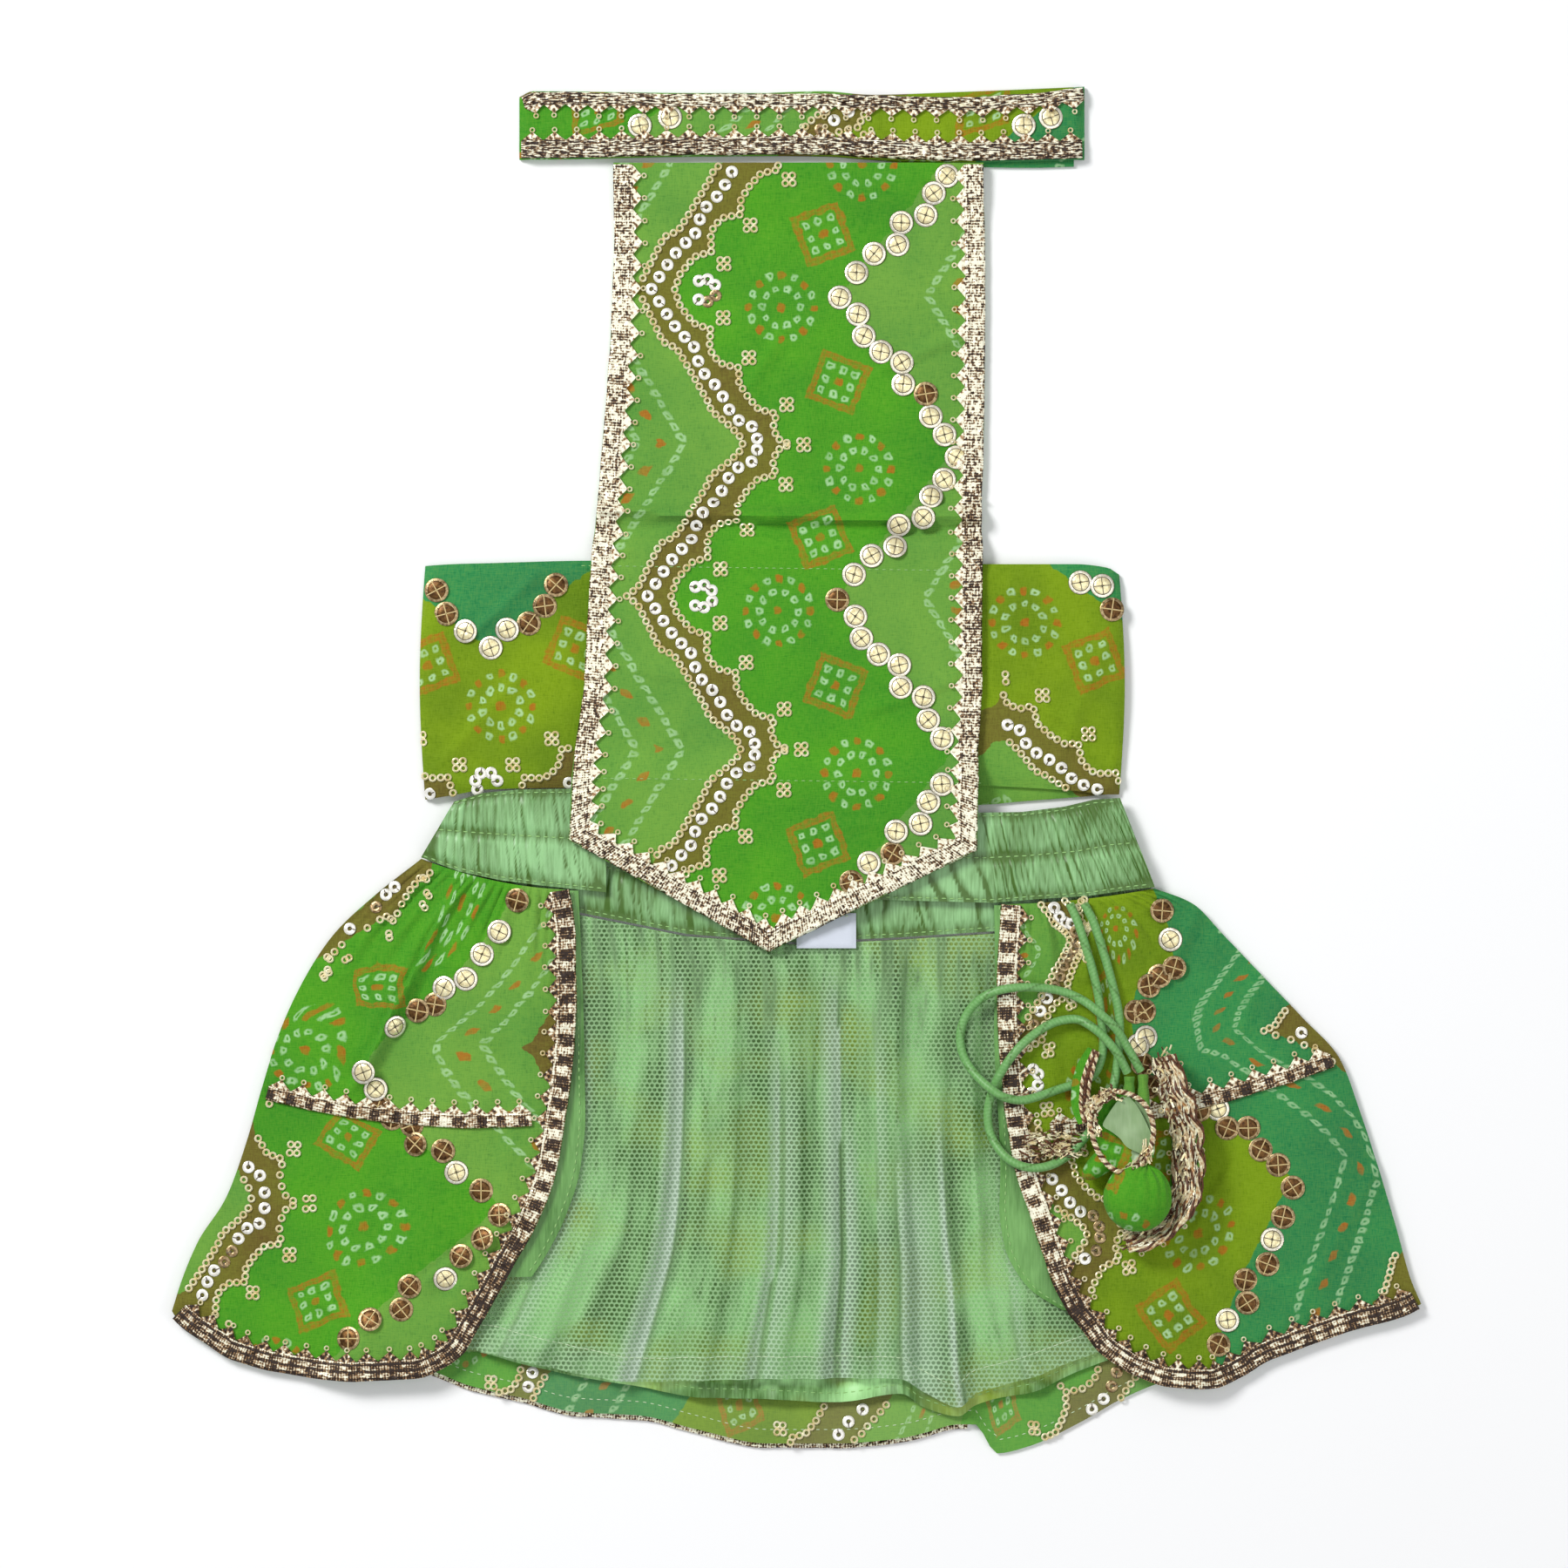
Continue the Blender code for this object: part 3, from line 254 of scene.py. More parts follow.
class Wire:
    """One output in a material's node tree; arithmetic on it adds the Math nodes."""

    def __init__(self, tree, socket=None):
        self.tree, self.socket = tree, socket

    def node(self, kind, settings=(), inputs=(), out=0):
        made = self.tree.nodes.new("ShaderNode" + kind)
        for name, value in dict(settings).items():
            if name == "curve":
                points = made.mapping.curves[0].points
                for index, at in enumerate(value):
                    point = points[index] if index < 2 else points.new(*at)
                    point.location, point.handle_type = at, "VECTOR"
                made.mapping.update()
            else:
                setattr(made, name, value)
        for name, value in dict(inputs).items():
            if isinstance(value, Wire):
                self.tree.links.new(value.socket, made.inputs[name])
            else:
                made.inputs[name].default_value = value
        return Wire(self.tree, made.outputs[out])

    def __add__(self, other):
        return maths("ADD", self, other)

    def __radd__(self, other):
        return maths("ADD", other, self)

    def __sub__(self, other):
        return maths("SUBTRACT", self, other)

    def __rsub__(self, other):
        return maths("SUBTRACT", other, self)

    def __mul__(self, other):
        return maths("MULTIPLY", self, other)

    def __rmul__(self, other):
        return maths("MULTIPLY", other, self)

    def __truediv__(self, other):
        return maths("DIVIDE", self, other)

    def __mod__(self, other):
        return maths("FLOORED_MODULO", self, other)

    def __lt__(self, other):
        return maths("LESS_THAN", self, other)

    def __gt__(self, other):
        return maths("GREATER_THAN", self, other)

    def __abs__(self):
        return maths("ABSOLUTE", self)


def maths(operation, *values):
    wire = next(value for value in values if isinstance(value, Wire))
    return wire.node("Math", {"operation": operation}, dict(enumerate(values)))


def clamped(value):
    return value.node("Clamp", {}, {"Value": value})


def painted(mask, below, above):
    """The colour above where mask is 1, and the colour below where it is 0."""
    return mask.node("Mix", {"data_type": "RGBA"}, {0: mask, 6: below, 7: above}, out=2)


def split(vector):
    return [vector.node("SeparateXYZ", {}, {0: vector}, out=i) for i in range(3)]


def dye(red, green, blue):
    """A colour as a screen shows it, 0 to 255, in the renderer's own linear values."""
    return (*(((value / 255 + 0.055) / 1.055) ** 2.4 if value > 10 else value / 3295
              for value in (red, green, blue)), 1.0)


def new_finish(name):
    made = bpy.data.materials.new(name)
    made.use_nodes = True
    return made, Wire(made.node_tree)


def dress(material, **sockets):
    """Puts values and wires on the shader's sockets; height adds a Bump node."""
    shader = material.node_tree.nodes["Principled BSDF"]
    wire = Wire(material.node_tree)
    if "height" in sockets:
        sockets["Normal"] = wire.node("Bump", {}, {"Strength": sockets.pop("strength", 0.5),
                                                   "Distance": sockets.pop("depth", 0.3) * MM,
                                                   "Height": sockets.pop("height")})
    for name, value in sockets.items():
        name = name.replace("_", " ")
        if isinstance(value, Wire):
            material.node_tree.links.new(value.socket, shader.inputs[name])
        else:
            shader.inputs[name].default_value = value
    return material


def thread_map(wire):
    """The two values of a piece's own map: how far along and how far across it."""
    return split(wire.node("UVMap", {"uv_map": "thread"}))[:2]


def object_place(wire):
    """Object coordinates in millimetres."""
    return wire.node("VectorMath", {"operation": "SCALE"},
                     {0: wire.node("TexCoord", out="Object"), "Scale": 1 / MM})


def grain(place, stretch, scale, detail=2.0):
    """Noise from about -0.5 to 0.5, drawn out along one way of the cloth."""
    pulled = place.node("VectorMath", {"operation": "MULTIPLY"}, {0: place, 1: stretch})
    return place.node("TexNoise", {}, {"Vector": pulled, "Scale": scale, "Detail": detail}) - 0.5


EVEN = (1, 1, 1)        # grain that isn't drawn out
# The cord's satin, with its painted sheen and its painted shade.
SATIN, SATIN_LIGHT, SATIN_SHADE = dye(106, 164, 88), dye(146, 198, 130), dye(66, 106, 36)


def cord_finish():
    material, wire = new_finish("piped_satin")
    along, around = thread_map(wire)
    seam = abs((along + around) % 1.0 - 0.5)
    groove = clamped((seam - 0.42) * 14.0)
    twill = maths("SINE", (along * (TURN / TWILL) - around * 2.0) * (2 * pi))
    cloth = grain(object_place(wire), EVEN, 1.1)
    # Painted shade in the seam's groove, then painted sheen in patches of the cloth and on the ribs
    # of its twill.
    colour = painted(groove * 0.7, SATIN, SATIN_SHADE)
    colour = painted(clamped(twill * 0.14 + cloth * 1.1 + 0.12), colour, SATIN_LIGHT)
    return dress(material, Base_Color=colour, Roughness=0.45, Sheen_Weight=0.1,
                 height=twill * 0.16 - groove * 0.5, depth=0.16, strength=0.5)


piped_satin = cord_finish()
cords = {}
for end in DRAWSTRING:
    route = smooth_route(end.points, CORD_STEP)

    def piping(u, v, route=route):
        turns = u * (len(route) - 1) * CORD_STEP / TURN
        return CORD_WIDTH / 2 * (1.0 + 0.02 * cos(2 * pi * (turns + v)))
    cord = finished(end.name, tube_mesh(route, piping, TURN), piped_satin)
    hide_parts(end.node)
    cords[end.name] = cord, [spot * MM for spot in route]

# The yoke panel: printed georgette, dyed in zones and dotted like tie-dye. It hangs from the
# neck band over the belly band and ends in a point. Bands and skirt are cut from the same
# cloth, so its print and sequins are set down here once, in steps of a quarter millimetre.
PERIOD = 350.0          # the zigzags come round again along the cloth
REPEAT = 438.0          # olive band, motifs, wheels and chevrons come round again across it
Edge = namedtuple("Edge", "fold across")    # fold: how far along from a left corner
OLIVE_LEFT = rows_of(
    Edge, (0, -13), (10, 0), (38, 14), (60, 25), (67, 41), (86, 53), (104, 64), (126, 77),
    (138, 82), (152, 100), (165, 114), (175, 118))
OLIVE_RIGHT = rows_of(
    Edge, (0, 38), (18, 44), (38, 60), (45, 81), (58, 78), (74, 82), (84, 94), (88, 114),
    (102, 112), (118, 121), (135, 136), (140, 157), (152, 153), (168, 157), (175, 173))
CUP_LINE = rows_of(
    Edge, (0, 11), (25, 27), (51, 45), (59, 59), (91, 69), (112, 90), (141, 105), (151, 117),
    (156, 132), (168, 134), (175, 140))
FLOWERS = rows_of(Edge, (31, 94), (76, 124), (129, 168), (175, 188))
DYE_STRAY = 9.0                     # how far the dye strays from its edges
WHEEL_CORNER, WHEEL_SLOPE = 228.0, 0.766
CHEVRONS = (329.0, 382.0)           # pale rows, and orange dots between them
CHEVRON_DOTS, CHEVRON_SLOPE = 356.0, 0.611
PALE_PITCH, ORANGE_PITCH = 12.5, 32.0
Motif = namedtuple("Motif", "across along")
ROSETTES = (Motif(161, 17), Motif(252, 202))
OUTER_DOTS, OUTER_RING = 16, 37.0
INNER_DOTS, INNER_RING = 10, 22.0
DIAMONDS = (Motif(227, 102), Motif(208, 282))
DIAMOND_TURN = radians(21)
DIAMOND_LINE, KNOT_PITCH, CELL = 26.0, 8.6, 15.0   # its frame, the frame's dots, the dots within

# The dye of the zone with the motifs and of the zone with the chevrons, each followed by
# what it is on every third repeat, first where the cloth took less dye, then more.
Zones = namedtuple("Zones", "motifs motifs_third chevrons chevrons_third")
BRIGHT = Zones(dye(70, 154, 22), dye(120, 152, 2), dye(106, 160, 60), dye(42, 138, 74))
DEEP = Zones(dye(50, 136, 26), dye(90, 124, 2), dye(82, 144, 56), dye(32, 120, 70))
OLIVE, OLIVE_BROWN = dye(108, 102, 34), dye(98, 72, 34)
PALE_DOT, ORANGE_DOT = dye(186, 226, 176), dye(176, 88, 14)
LIT_THREAD, WEAVE_SHADE = dye(184, 214, 78), dye(20, 76, 16)
UNDYED = dye(176, 206, 150)


def curve_of(fold, edges):
    """A printed edge as a curve over the fold, by a Float Curve node."""
    low, high = min(e.across for e in edges), max(e.across for e in edges)
    line = [(e.fold / (PERIOD / 2), (e.across - low) / (high - low)) for e in edges]
    curve = fold.node("FloatCurve", {"curve": line}, {"Value": fold / (PERIOD / 2)})
    return curve * (high - low) + low


def larger(one, other):
    return maths("MAXIMUM", one, other)


def centred(value, pitch):
    """The value counted from the middle of each repeat."""
    return value % pitch - pitch / 2


def tied_dot(x, y, half, hole=0.0):
    """A soft square dot, open in its middle where hole is more than 0."""
    far = larger(abs(x), abs(y)) * 0.45 + maths("SQRT", x * x + y * y) * 0.55
    mask = clamped((half - far) * 0.6 + 0.5)
    return mask * clamped((far - hole) * 0.7 + 0.5) if hole else mask


def ring_of_dots(x, y, count, radius, half, hole):
    """Dots round a circle, and which of them each place is nearest to."""
    turn = maths("ARCTAN2", y, x) * (count / (2 * pi))
    nearest = maths("ROUND", turn)
    out = maths("SQRT", x * x + y * y) - radius
    return tied_dot((turn - nearest) * (2 * pi * radius / count), out, half, hole), nearest


def nearer(pair, at, along):
    """Place from the nearer of a pair of motifs, and 1 where that is the second."""
    first, other = pair
    halfway = (first.along + other.along) / 2
    is_other = ((along - halfway) % PERIOD) < (PERIOD / 2)
    x = at - first.across - is_other * (other.across - first.across)
    y = along - first.along - is_other * (other.along - first.along)
    return x, (y + PERIOD / 2) % PERIOD - PERIOD / 2, is_other


def chevrons(at, fold, within):
    """Masks of the chevrons' pale rows, and of the orange dots between them."""
    rows = at - fold * CHEVRON_SLOPE
    beat = (fold / PALE_PITCH) % 1.0 * PALE_PITCH - PALE_PITCH / 2
    pale, other = (tied_dot(rows - row, beat, 4.6, 1.4) for row in CHEVRONS)
    beat = (fold / ORANGE_PITCH) % 1.0 * ORANGE_PITCH - ORANGE_PITCH / 2
    orange = tied_dot(rows - CHEVRON_DOTS, beat, 5.6)
    return larger(pale, other) * within * 0.75, orange * within


def with_rosettes(pale, orange, at, along):
    """The masks with rosettes: an outer ring of pale and orange dots, and an inner pale one."""
    x, y, _ = nearer(ROSETTES, at, along)
    outer, nearest = ring_of_dots(x, y, OUTER_DOTS, OUTER_RING, 4.3, 0.0)
    is_orange = (nearest % 2.0) < 0.5
    outer_pale, _ = ring_of_dots(x, y, OUTER_DOTS, OUTER_RING, 4.2, 1.5)
    inner, _ = ring_of_dots(x, y, INNER_DOTS, INNER_RING, 4.0, 1.4)
    return (larger(pale, larger(outer_pale * (1.0 - is_orange), inner)),
            larger(orange, larger(outer * is_orange, tied_dot(x, y, 5.2))))


def with_diamonds(pale, orange, at, along):
    """The masks with diamonds: an orange frame round eight pale dots and an orange one."""
    x, y, is_other = nearer(DIAMONDS, at, along)
    lean = (1.0 - is_other * 2.0) * sin(DIAMOND_TURN)
    p = x * cos(DIAMOND_TURN) + y * lean
    q = y * cos(DIAMOND_TURN) - x * lean
    out = larger(abs(p), abs(q))
    knots = tied_dot(centred(p, KNOT_PITCH), centred(q, KNOT_PITCH), 3.6)
    orange = larger(orange, clamped((4.6 - abs(out - DIAMOND_LINE)) * 0.6) * (knots * 0.40 + 0.46))
    cell = tied_dot(centred(p + CELL / 2, CELL), centred(q + CELL / 2, CELL), 4.2, 1.5)
    pale = larger(pale, cell * clamped(20.0 - out) * (1.0 - clamped(7.0 - out)))
    return pale, larger(orange, tied_dot(p, q, 5.0))


def bandhani(name, strength):
    """The printed cloth; strength is how much of the dye shows, less on the wrong side."""
    material, wire = new_finish(name)
    place = object_place(wire)
    across, along, _ = split(wire.node("UVMap", {"uv_map": "print"}))
    stray = split(wire.node("TexNoise", {}, {"Vector": place, "Scale": 0.35, "Detail": 2.0}, out=1))
    across = across + (stray[0] - 0.5) * DYE_STRAY
    along = along + (stray[1] - 0.5) * DYE_STRAY
    fold = maths("PINGPONG", along, PERIOD / 2)
    left = curve_of(fold, OLIVE_LEFT)
    at = (across - left) % REPEAT + left
    count = maths("FLOOR", (across - left) / REPEAT) % 3.0
    third = clamped(1.0 - abs(count - 1.0))
    in_olive = clamped((curve_of(fold, OLIVE_RIGHT) - at) * 0.8)
    in_chevrons = clamped((at - fold * WHEEL_SLOPE - WHEEL_CORNER) * 0.8)

    patchy = grain(place, EVEN, 0.035, 3.0)
    ground, deep = (painted(in_chevrons, painted(third, *zones[:2]), painted(third, *zones[2:]))
                    for zones in (BRIGHT, DEEP))
    ground = painted(clamped(patchy * 3.0 + 0.35), ground, deep)
    pale, orange = chevrons(at, fold, in_chevrons)
    pale, orange = with_rosettes(pale, orange, at, along)
    pale, orange = with_diamonds(pale, orange, at, along)

    faint = clamped(grain(place, EVEN, 0.25) * 1.5 + 0.85)
    colour = painted(pale * faint * 0.72, ground, PALE_DOT)
    colour = painted(orange * faint * 0.82, colour, ORANGE_DOT)
    colour = painted(in_olive, colour, painted(clamped(patchy * 3.0 + 0.15), OLIVE, OLIVE_BROWN))
    weave = grain(place, (0.5, 4.0, 1), 0.9) + grain(place, (4.0, 0.5, 1), 0.9)
    colour = painted(clamped(weave * 0.9 + 0.18) * 0.22, colour, LIT_THREAD)
    colour = painted(clamped(-0.10 - weave) * 1.1, colour, WEAVE_SHADE)
    if strength < 1.0:
        colour = wire.node("Mix", {"data_type": "RGBA"},
                           {0: 1.0 - strength, 6: colour, 7: UNDYED}, out=2)
    return dress(material, Base_Color=colour, Roughness=0.86, Sheen_Weight=0.06,
                 Specular_IOR_Level=0.25, height=weave, depth=0.22, strength=0.55)


printed = bandhani("bandhani_print", 1.0)
Mark = namedtuple("Mark", "x y across along")   # frame pixels, and the print's steps there


def spline(places, values):
    """A thin-plate spline: the smoothest sheet that passes through values at places."""
    def bend(points):
        gap = np.linalg.norm(points[:, None] - places[None], axis=2)
        return gap ** 2 * np.log(np.maximum(gap, 1e-6))

    def flat(points):
        return np.hstack([np.ones((len(points), 1)), points])
    system = np.block([[bend(places), flat(places)], [flat(places).T, np.zeros((3, 3))]])
    solved = np.linalg.solve(system, np.vstack([values, np.zeros((3, 2))]))
    return (lambda points: np.hstack([bend(points), flat(points)]) @ solved), solved[-2:]


class Lay:
    """How the print lies on a piece: the map through the marks measured on it."""

    def __init__(self, marks):
        spots = np.array([spot_of(mark.x, mark.y) for mark in marks])
        steps = np.array([(mark.across, mark.along) for mark in marks], float)
        self.steps_at, straight = spline(spots, steps)
        self.first_guess, _ = spline(steps, spots)
        self.back = np.linalg.inv(straight)

    def spots_at(self, steps):
        """Where steps of the print come to lie: a first guess, then closer in a few rounds."""
        spots = self.first_guess(steps)
        for _ in range(8):
            spots += 0.8 * (steps - self.steps_at(spots)) @ self.back
        return spots

    def print_onto(self, piece):
        """Writes the print's steps to the piece, as the map that its finish reads."""
        mesh = piece.data
        spots = np.empty(len(mesh.vertices) * 3)
        mesh.vertices.foreach_get("co", spots)
        corners = np.empty(len(mesh.loops), int)
        mesh.loops.foreach_get("vertex_index", corners)
        steps = self.steps_at(spots.reshape(-1, 3)[:, :2] / MM)
        mesh.uv_layers.new(name="print").data.foreach_set("uv", steps[corners].ravel())


def metal(name, colour, dark, roughness, patch=1.2, foil=0.75):
    """Foil on a sequin or on gilt thread: its colour is painted brighter and darker in patches, as
    painted reflection of the light it catches.
    """
    material, wire = new_finish(name)
    place = object_place(wire)
    shade = clamped(grain(place, EVEN, patch) * 2.6 + 0.5)
    return dress(material, Base_Color=painted(shade, dark, colour), Metallic=foil,
                 Roughness=roughness + shade * 0.1, height=shade, depth=0.12, strength=0.3)


def plain_thread(name, colour):
    material, wire = new_finish(name)
    ply = grain(object_place(wire), EVEN, 2.5)
    colour = painted(clamped(ply * 0.8 + 0.12), colour, dye(225, 218, 180))
    return dress(material, Base_Color=colour, Roughness=0.7, height=ply, depth=0.1)


# Foils with painted reflection; the last two are shaded copies, painted shade for foil turned away
# from the light.
SEQUIN_FINISHES = [
    metal("foil_rim", dye(255, 252, 240), dye(236, 226, 196), 0.28),
    metal("foil_gold", dye(255, 247, 204), dye(238, 220, 164), 0.28, foil=0.5),
    metal("silver_foil", dye(255, 254, 248), dye(226, 222, 208), 0.25, 0.6, 0.3),
    metal("chain_gilt", dye(255, 250, 218), dye(228, 206, 146), 0.3, 0.5, 0.35),
    plain_thread("dark_thread", dye(58, 38, 22)),
    plain_thread("gilt_thread", dye(206, 180, 120)),
    metal("shaded_foil_rim", dye(196, 174, 132), dye(122, 92, 56), 0.3),
    metal("shaded_foil", dye(124, 88, 46), dye(70, 44, 22), 0.35),
]
RIM, GOLD, SILVER, CHAIN, THREAD, GILT_THREAD, SHADED_RIM, SHADED_FOIL = range(8)


def turned(profile, steps, paint):
    """A small ring-shaped body turned from (radius, height) points."""
    bm = bmesh.new()
    verts = [bm.verts.new((radius, 0.0, height)) for radius, height in profile]
    edges = [bm.edges.new(pair) for pair in zip(verts, verts[1:] + verts[:1])]
    bmesh.ops.spin(bm, geom=verts + edges, axis=(0, 0, 1), cent=(0, 0, 0), steps=steps,
                   angle=2 * pi, use_merge=True)
    bmesh.ops.remove_doubles(bm, verts=list(bm.verts), dist=0.001)
    bmesh.ops.recalc_face_normals(bm, faces=list(bm.faces))
    for face in bm.faces:
        face.material_index = paint(face.calc_center_median().xy.length)
    return bm


def shape_of(name, bm, threads=(), reach=1.0, paint=None, height=0.3, thick=0.30):
    """The bmesh as a mesh to copy, with straight threads from its middle added."""
    for angle in threads:
        turn = Matrix.Rotation(radians(angle), 4, "Z")
        made = bmesh.ops.create_cube(bm, size=1.0)["verts"]
        bmesh.ops.scale(bm, vec=(reach, thick, 0.14), verts=made)
        bmesh.ops.translate(bm, vec=(reach / 2, 0, height), verts=made)
        bmesh.ops.rotate(bm, matrix=turn, cent=(0, 0, 0), verts=made)
        for face in {face for vert in made for face in vert.link_faces}:
            face.material_index = paint
    return mesh_of(name, bm)


WHEEL_PROFILE = [(0.34, 0.02), (3.42, 0.0), (3.48, 0.12), (3.34, 0.20), (2.64, 0.24),
                 (2.52, 0.14), (2.38, 0.24), (0.72, 0.28), (0.34, 0.18)]
CUP_PROFILE = [(0.52, 0.0), (1.72, 0.02), (1.76, 0.10), (1.60, 0.20), (1.05, 0.24), (0.66, 0.16),
               (0.50, 0.06)]
RING_PROFILE = [(0.55, 0.26), (0.86, 0.02), (1.18, 0.26), (0.86, 0.56)]


def wheel_paint(radius):
    """A wheel's foil: bright rim and middle, with dark thread paint as painted shade at its outer
    edge and in the ring where it is pressed in, and thread in its hole.
    """
    if radius > 3.3 or 2.38 < radius < 2.6 or radius < 0.4:
        return THREAD
    return RIM if radius > 2.5 else GOLD


# The shaded copy of a wheel: its foil is painted dark as painted shade, a little paler at the rim.
def shaded_wheel_paint(radius):
    return SHADED_RIM if radius > 2.75 else SHADED_FOIL


# A cup's silver foil, with thread in its hole and a darker gilt rim, painted shade at its edge.
def cup_paint(radius):
    return THREAD if radius < 0.62 else GILT_THREAD if radius > 1.66 else SILVER


# The shaded copy of a cup: its foil is painted dark as painted shade.
def shaded_cup_paint(radius):
    return GILT_THREAD if radius > 1.66 else SHADED_RIM


# The bright sequins, and their shaded copies whose foil carries painted shade.
WHEEL = shape_of("wheel", turned(WHEEL_PROFILE, 22, wheel_paint), (8, 96, 187, 275), 2.5, THREAD,
                 thick=0.22)
SHADED_WHEEL = shape_of("shaded_wheel", turned(WHEEL_PROFILE, 22, shaded_wheel_paint),
                      (4, 93, 184, 272), 3.2, GILT_THREAD)
CUP = shape_of("cup", turned(CUP_PROFILE, 14, cup_paint), (35,), 1.6, THREAD, 0.22)
SHADED_CUP = shape_of("shaded_cup", turned(CUP_PROFILE, 14, shaded_cup_paint), (35,), 1.6, THREAD, 0.22)
RING = shape_of("ring", turned(RING_PROFILE, 9, lambda radius: CHAIN))
CUP_PITCH, RING_PITCH = 16.6, 9.3       # in the print's steps, as are the next two
LOOP_MIDDLE, LOOP_RADIUS = 73, 13
WHEELS = rows_of(
    Motif, (228, 4), (249, 23), (256, 48), (276, 66), (300, 78), (302, 103), (328, 114), (334, 140),
    (350, 161), (364, 187), (350, 213), (335, 233), (326, 258), (298, 267), (294, 292), (267, 303),
    (247, 325))


def zigzag(edges, pitch):
    """Evenly spread places along one period of a printed edge."""
    line = [Vector((e.across, e.fold)) for e in edges]
    line += [Vector((e.across, PERIOD - e.fold)) for e in reversed(edges[:-1])]
    lengths = lengths_along(line)
    count = round(lengths[-1] / pitch)
    goals = [i / count * lengths[-1] for i in range(count)]
    return [Motif(*spot) for spot in zip(*(np.interp(goals, lengths, side) for side in zip(*line)))]


def flower_rings():
    """Four rings at each flower, on both sides of the fold."""
    for flower in FLOWERS:
        for along in {flower.fold, PERIOD - flower.fold}:
            for x, y in ((-4, -4), (4, -4.5), (4.5, 4), (-4, 4.5)):
                yield Motif(flower.across + x, along + y)


def loop_of_cups():
    """The open ring of small cups in each bay of the olive band."""
    return [Motif(LOOP_MIDDLE + LOOP_RADIUS * cos(radians(turn)),
                  LOOP_RADIUS * sin(radians(turn)))
            for turn in (-125, -78, -30, 25, 78, 125)]


def near_line(line, reach):
    """A test of places: are they within a distance of a line of points?"""
    line = [Vector(point[:2]) for point in line]

    def near(x, y):
        spot = Vector((x, y))
        for a, b in zip(line, line[1:]):
            share = min(max((spot - a).dot(b - a) / max((b - a).length_squared, 1e-9), 0.0), 1.0)
            if (a.lerp(b, share) - spot).length < reach:
                return True
        return False
    return near


def wobble(x, y, z):
    """Smooth noise, from about -1 to 1."""
    return noise.noise(Vector((x, y, z)))


def is_shaded(share, x, y):
    """Where a sequin takes painted shade, for foil turned away from the light: a share of the
    sequins, in drifts.
    """
    return 0.5 + 0.9 * wobble(x / 14.0, y / 14.0, 3.0) < share


def add_copy(bm, mesh, place):
    """A copy of a small mesh, moved by a matrix and added to a bmesh."""
    copy = mesh.copy()
    copy.transform(place)
    bm.from_mesh(copy)
    bpy.data.meshes.remove(copy)


ABOVE_ALL, AMID_CLOTH = 80.0, 6.0       # levels over the garment, and among its layers


def surface_of(bm):
    return BVHTree.FromBMesh(bm)


def dropped_on(surface, x, y):
    """Where a plumb line meets the cloth, or None beside it."""
    return surface.ray_cast(Vector((x, y, ABOVE_ALL)), Vector((0, 0, -1)))[0]


def top_of(surface, x, y):
    """The top of what lies at a place, or of the nearest edge beside it."""
    spot = dropped_on(surface, x, y) or surface.find_nearest(Vector((x, y, AMID_CLOTH)))[0]
    return spot.z


# Each kind's motifs, its bright sequin, its copy with painted shade, how far it reaches, and how
# much of a piece's share of painted shade it takes.
Kind = namedtuple("Kind", "motifs bright dull reach dark_share")
SEQUIN_LIFT, SEQUIN_TILT = 0.08, 5      # clear of the cloth, and how far off level, in degrees


def seat(surface, x, y, reach):
    """Where a stiff disc comes to rest on the cloth, and the way it faces."""
    east, north, west, south = (top_of(surface, x + reach * i, y + reach * j)
                                for i, j in ((1, 0), (0, 1), (-1, 0), (0, -1)))
    facing = Vector((west - east, south - north, 2 * reach)).normalized()
    level = top_of(surface, x, y)
    for turn in range(8):
        for share in (0.5, 1.0):
            out = Matrix.Rotation(turn * pi / 4, 2) @ Vector((share * reach, 0.0))
            top = top_of(surface, x + out.x, y + out.y)
            level = max(level, top + facing.xy.dot(out) / facing.z)
    return Vector((x, y, level)), facing


def sequins(name, lay, surface, repeats, periods, dark=0.0, gone=lambda x, y: False, wheels=True):
    """The sequins and chains of tiny rings worked on a piece, as one object."""
    chance = random.Random(name)
    kinds = [Kind(WHEELS if wheels else [], WHEEL, SHADED_WHEEL, 3.0, 1.0),
             Kind(zigzag(CUP_LINE, CUP_PITCH), CUP, SHADED_CUP, 1.4, 0.5),
             Kind(loop_of_cups(), CUP, SHADED_CUP, 1.4, 0.5)]
    kinds += [Kind(rings, RING, RING, 0.8, 0.0) for rings in (
        zigzag(OLIVE_LEFT, RING_PITCH), zigzag(OLIVE_RIGHT, RING_PITCH), list(flower_rings()))]
    bm = bmesh.new()
    for kind in kinds:
        steps = np.array([(m.across + REPEAT * i, m.along + PERIOD * j)
                          for i in repeats for j in periods for m in kind.motifs], float)
        for x, y in lay.spots_at(steps) if kind.motifs else ():
            if dropped_on(surface, x, y) is None or gone(x, y):
                continue
            spot, upward = seat(surface, x, y, kind.reach)
            tilt = Matrix.Rotation(radians(chance.uniform(-SEQUIN_TILT, SEQUIN_TILT)), 4, "X")
            spin = Matrix.Rotation(radians(chance.uniform(0, 360)), 4, "Z")
            stand = upward.to_track_quat("Z", "Y").to_matrix().to_4x4()
            # A share of the sequins, in drifts, take the copy with painted shade.
            disc = kind.dull if is_shaded(dark * kind.dark_share, x, y) else kind.bright
            lifted = Matrix.Translation(spot + upward * SEQUIN_LIFT)
            add_copy(bm, disc, lifted @ stand @ tilt @ spin)
    return finished(name, bm, SEQUIN_FINISHES, 35)


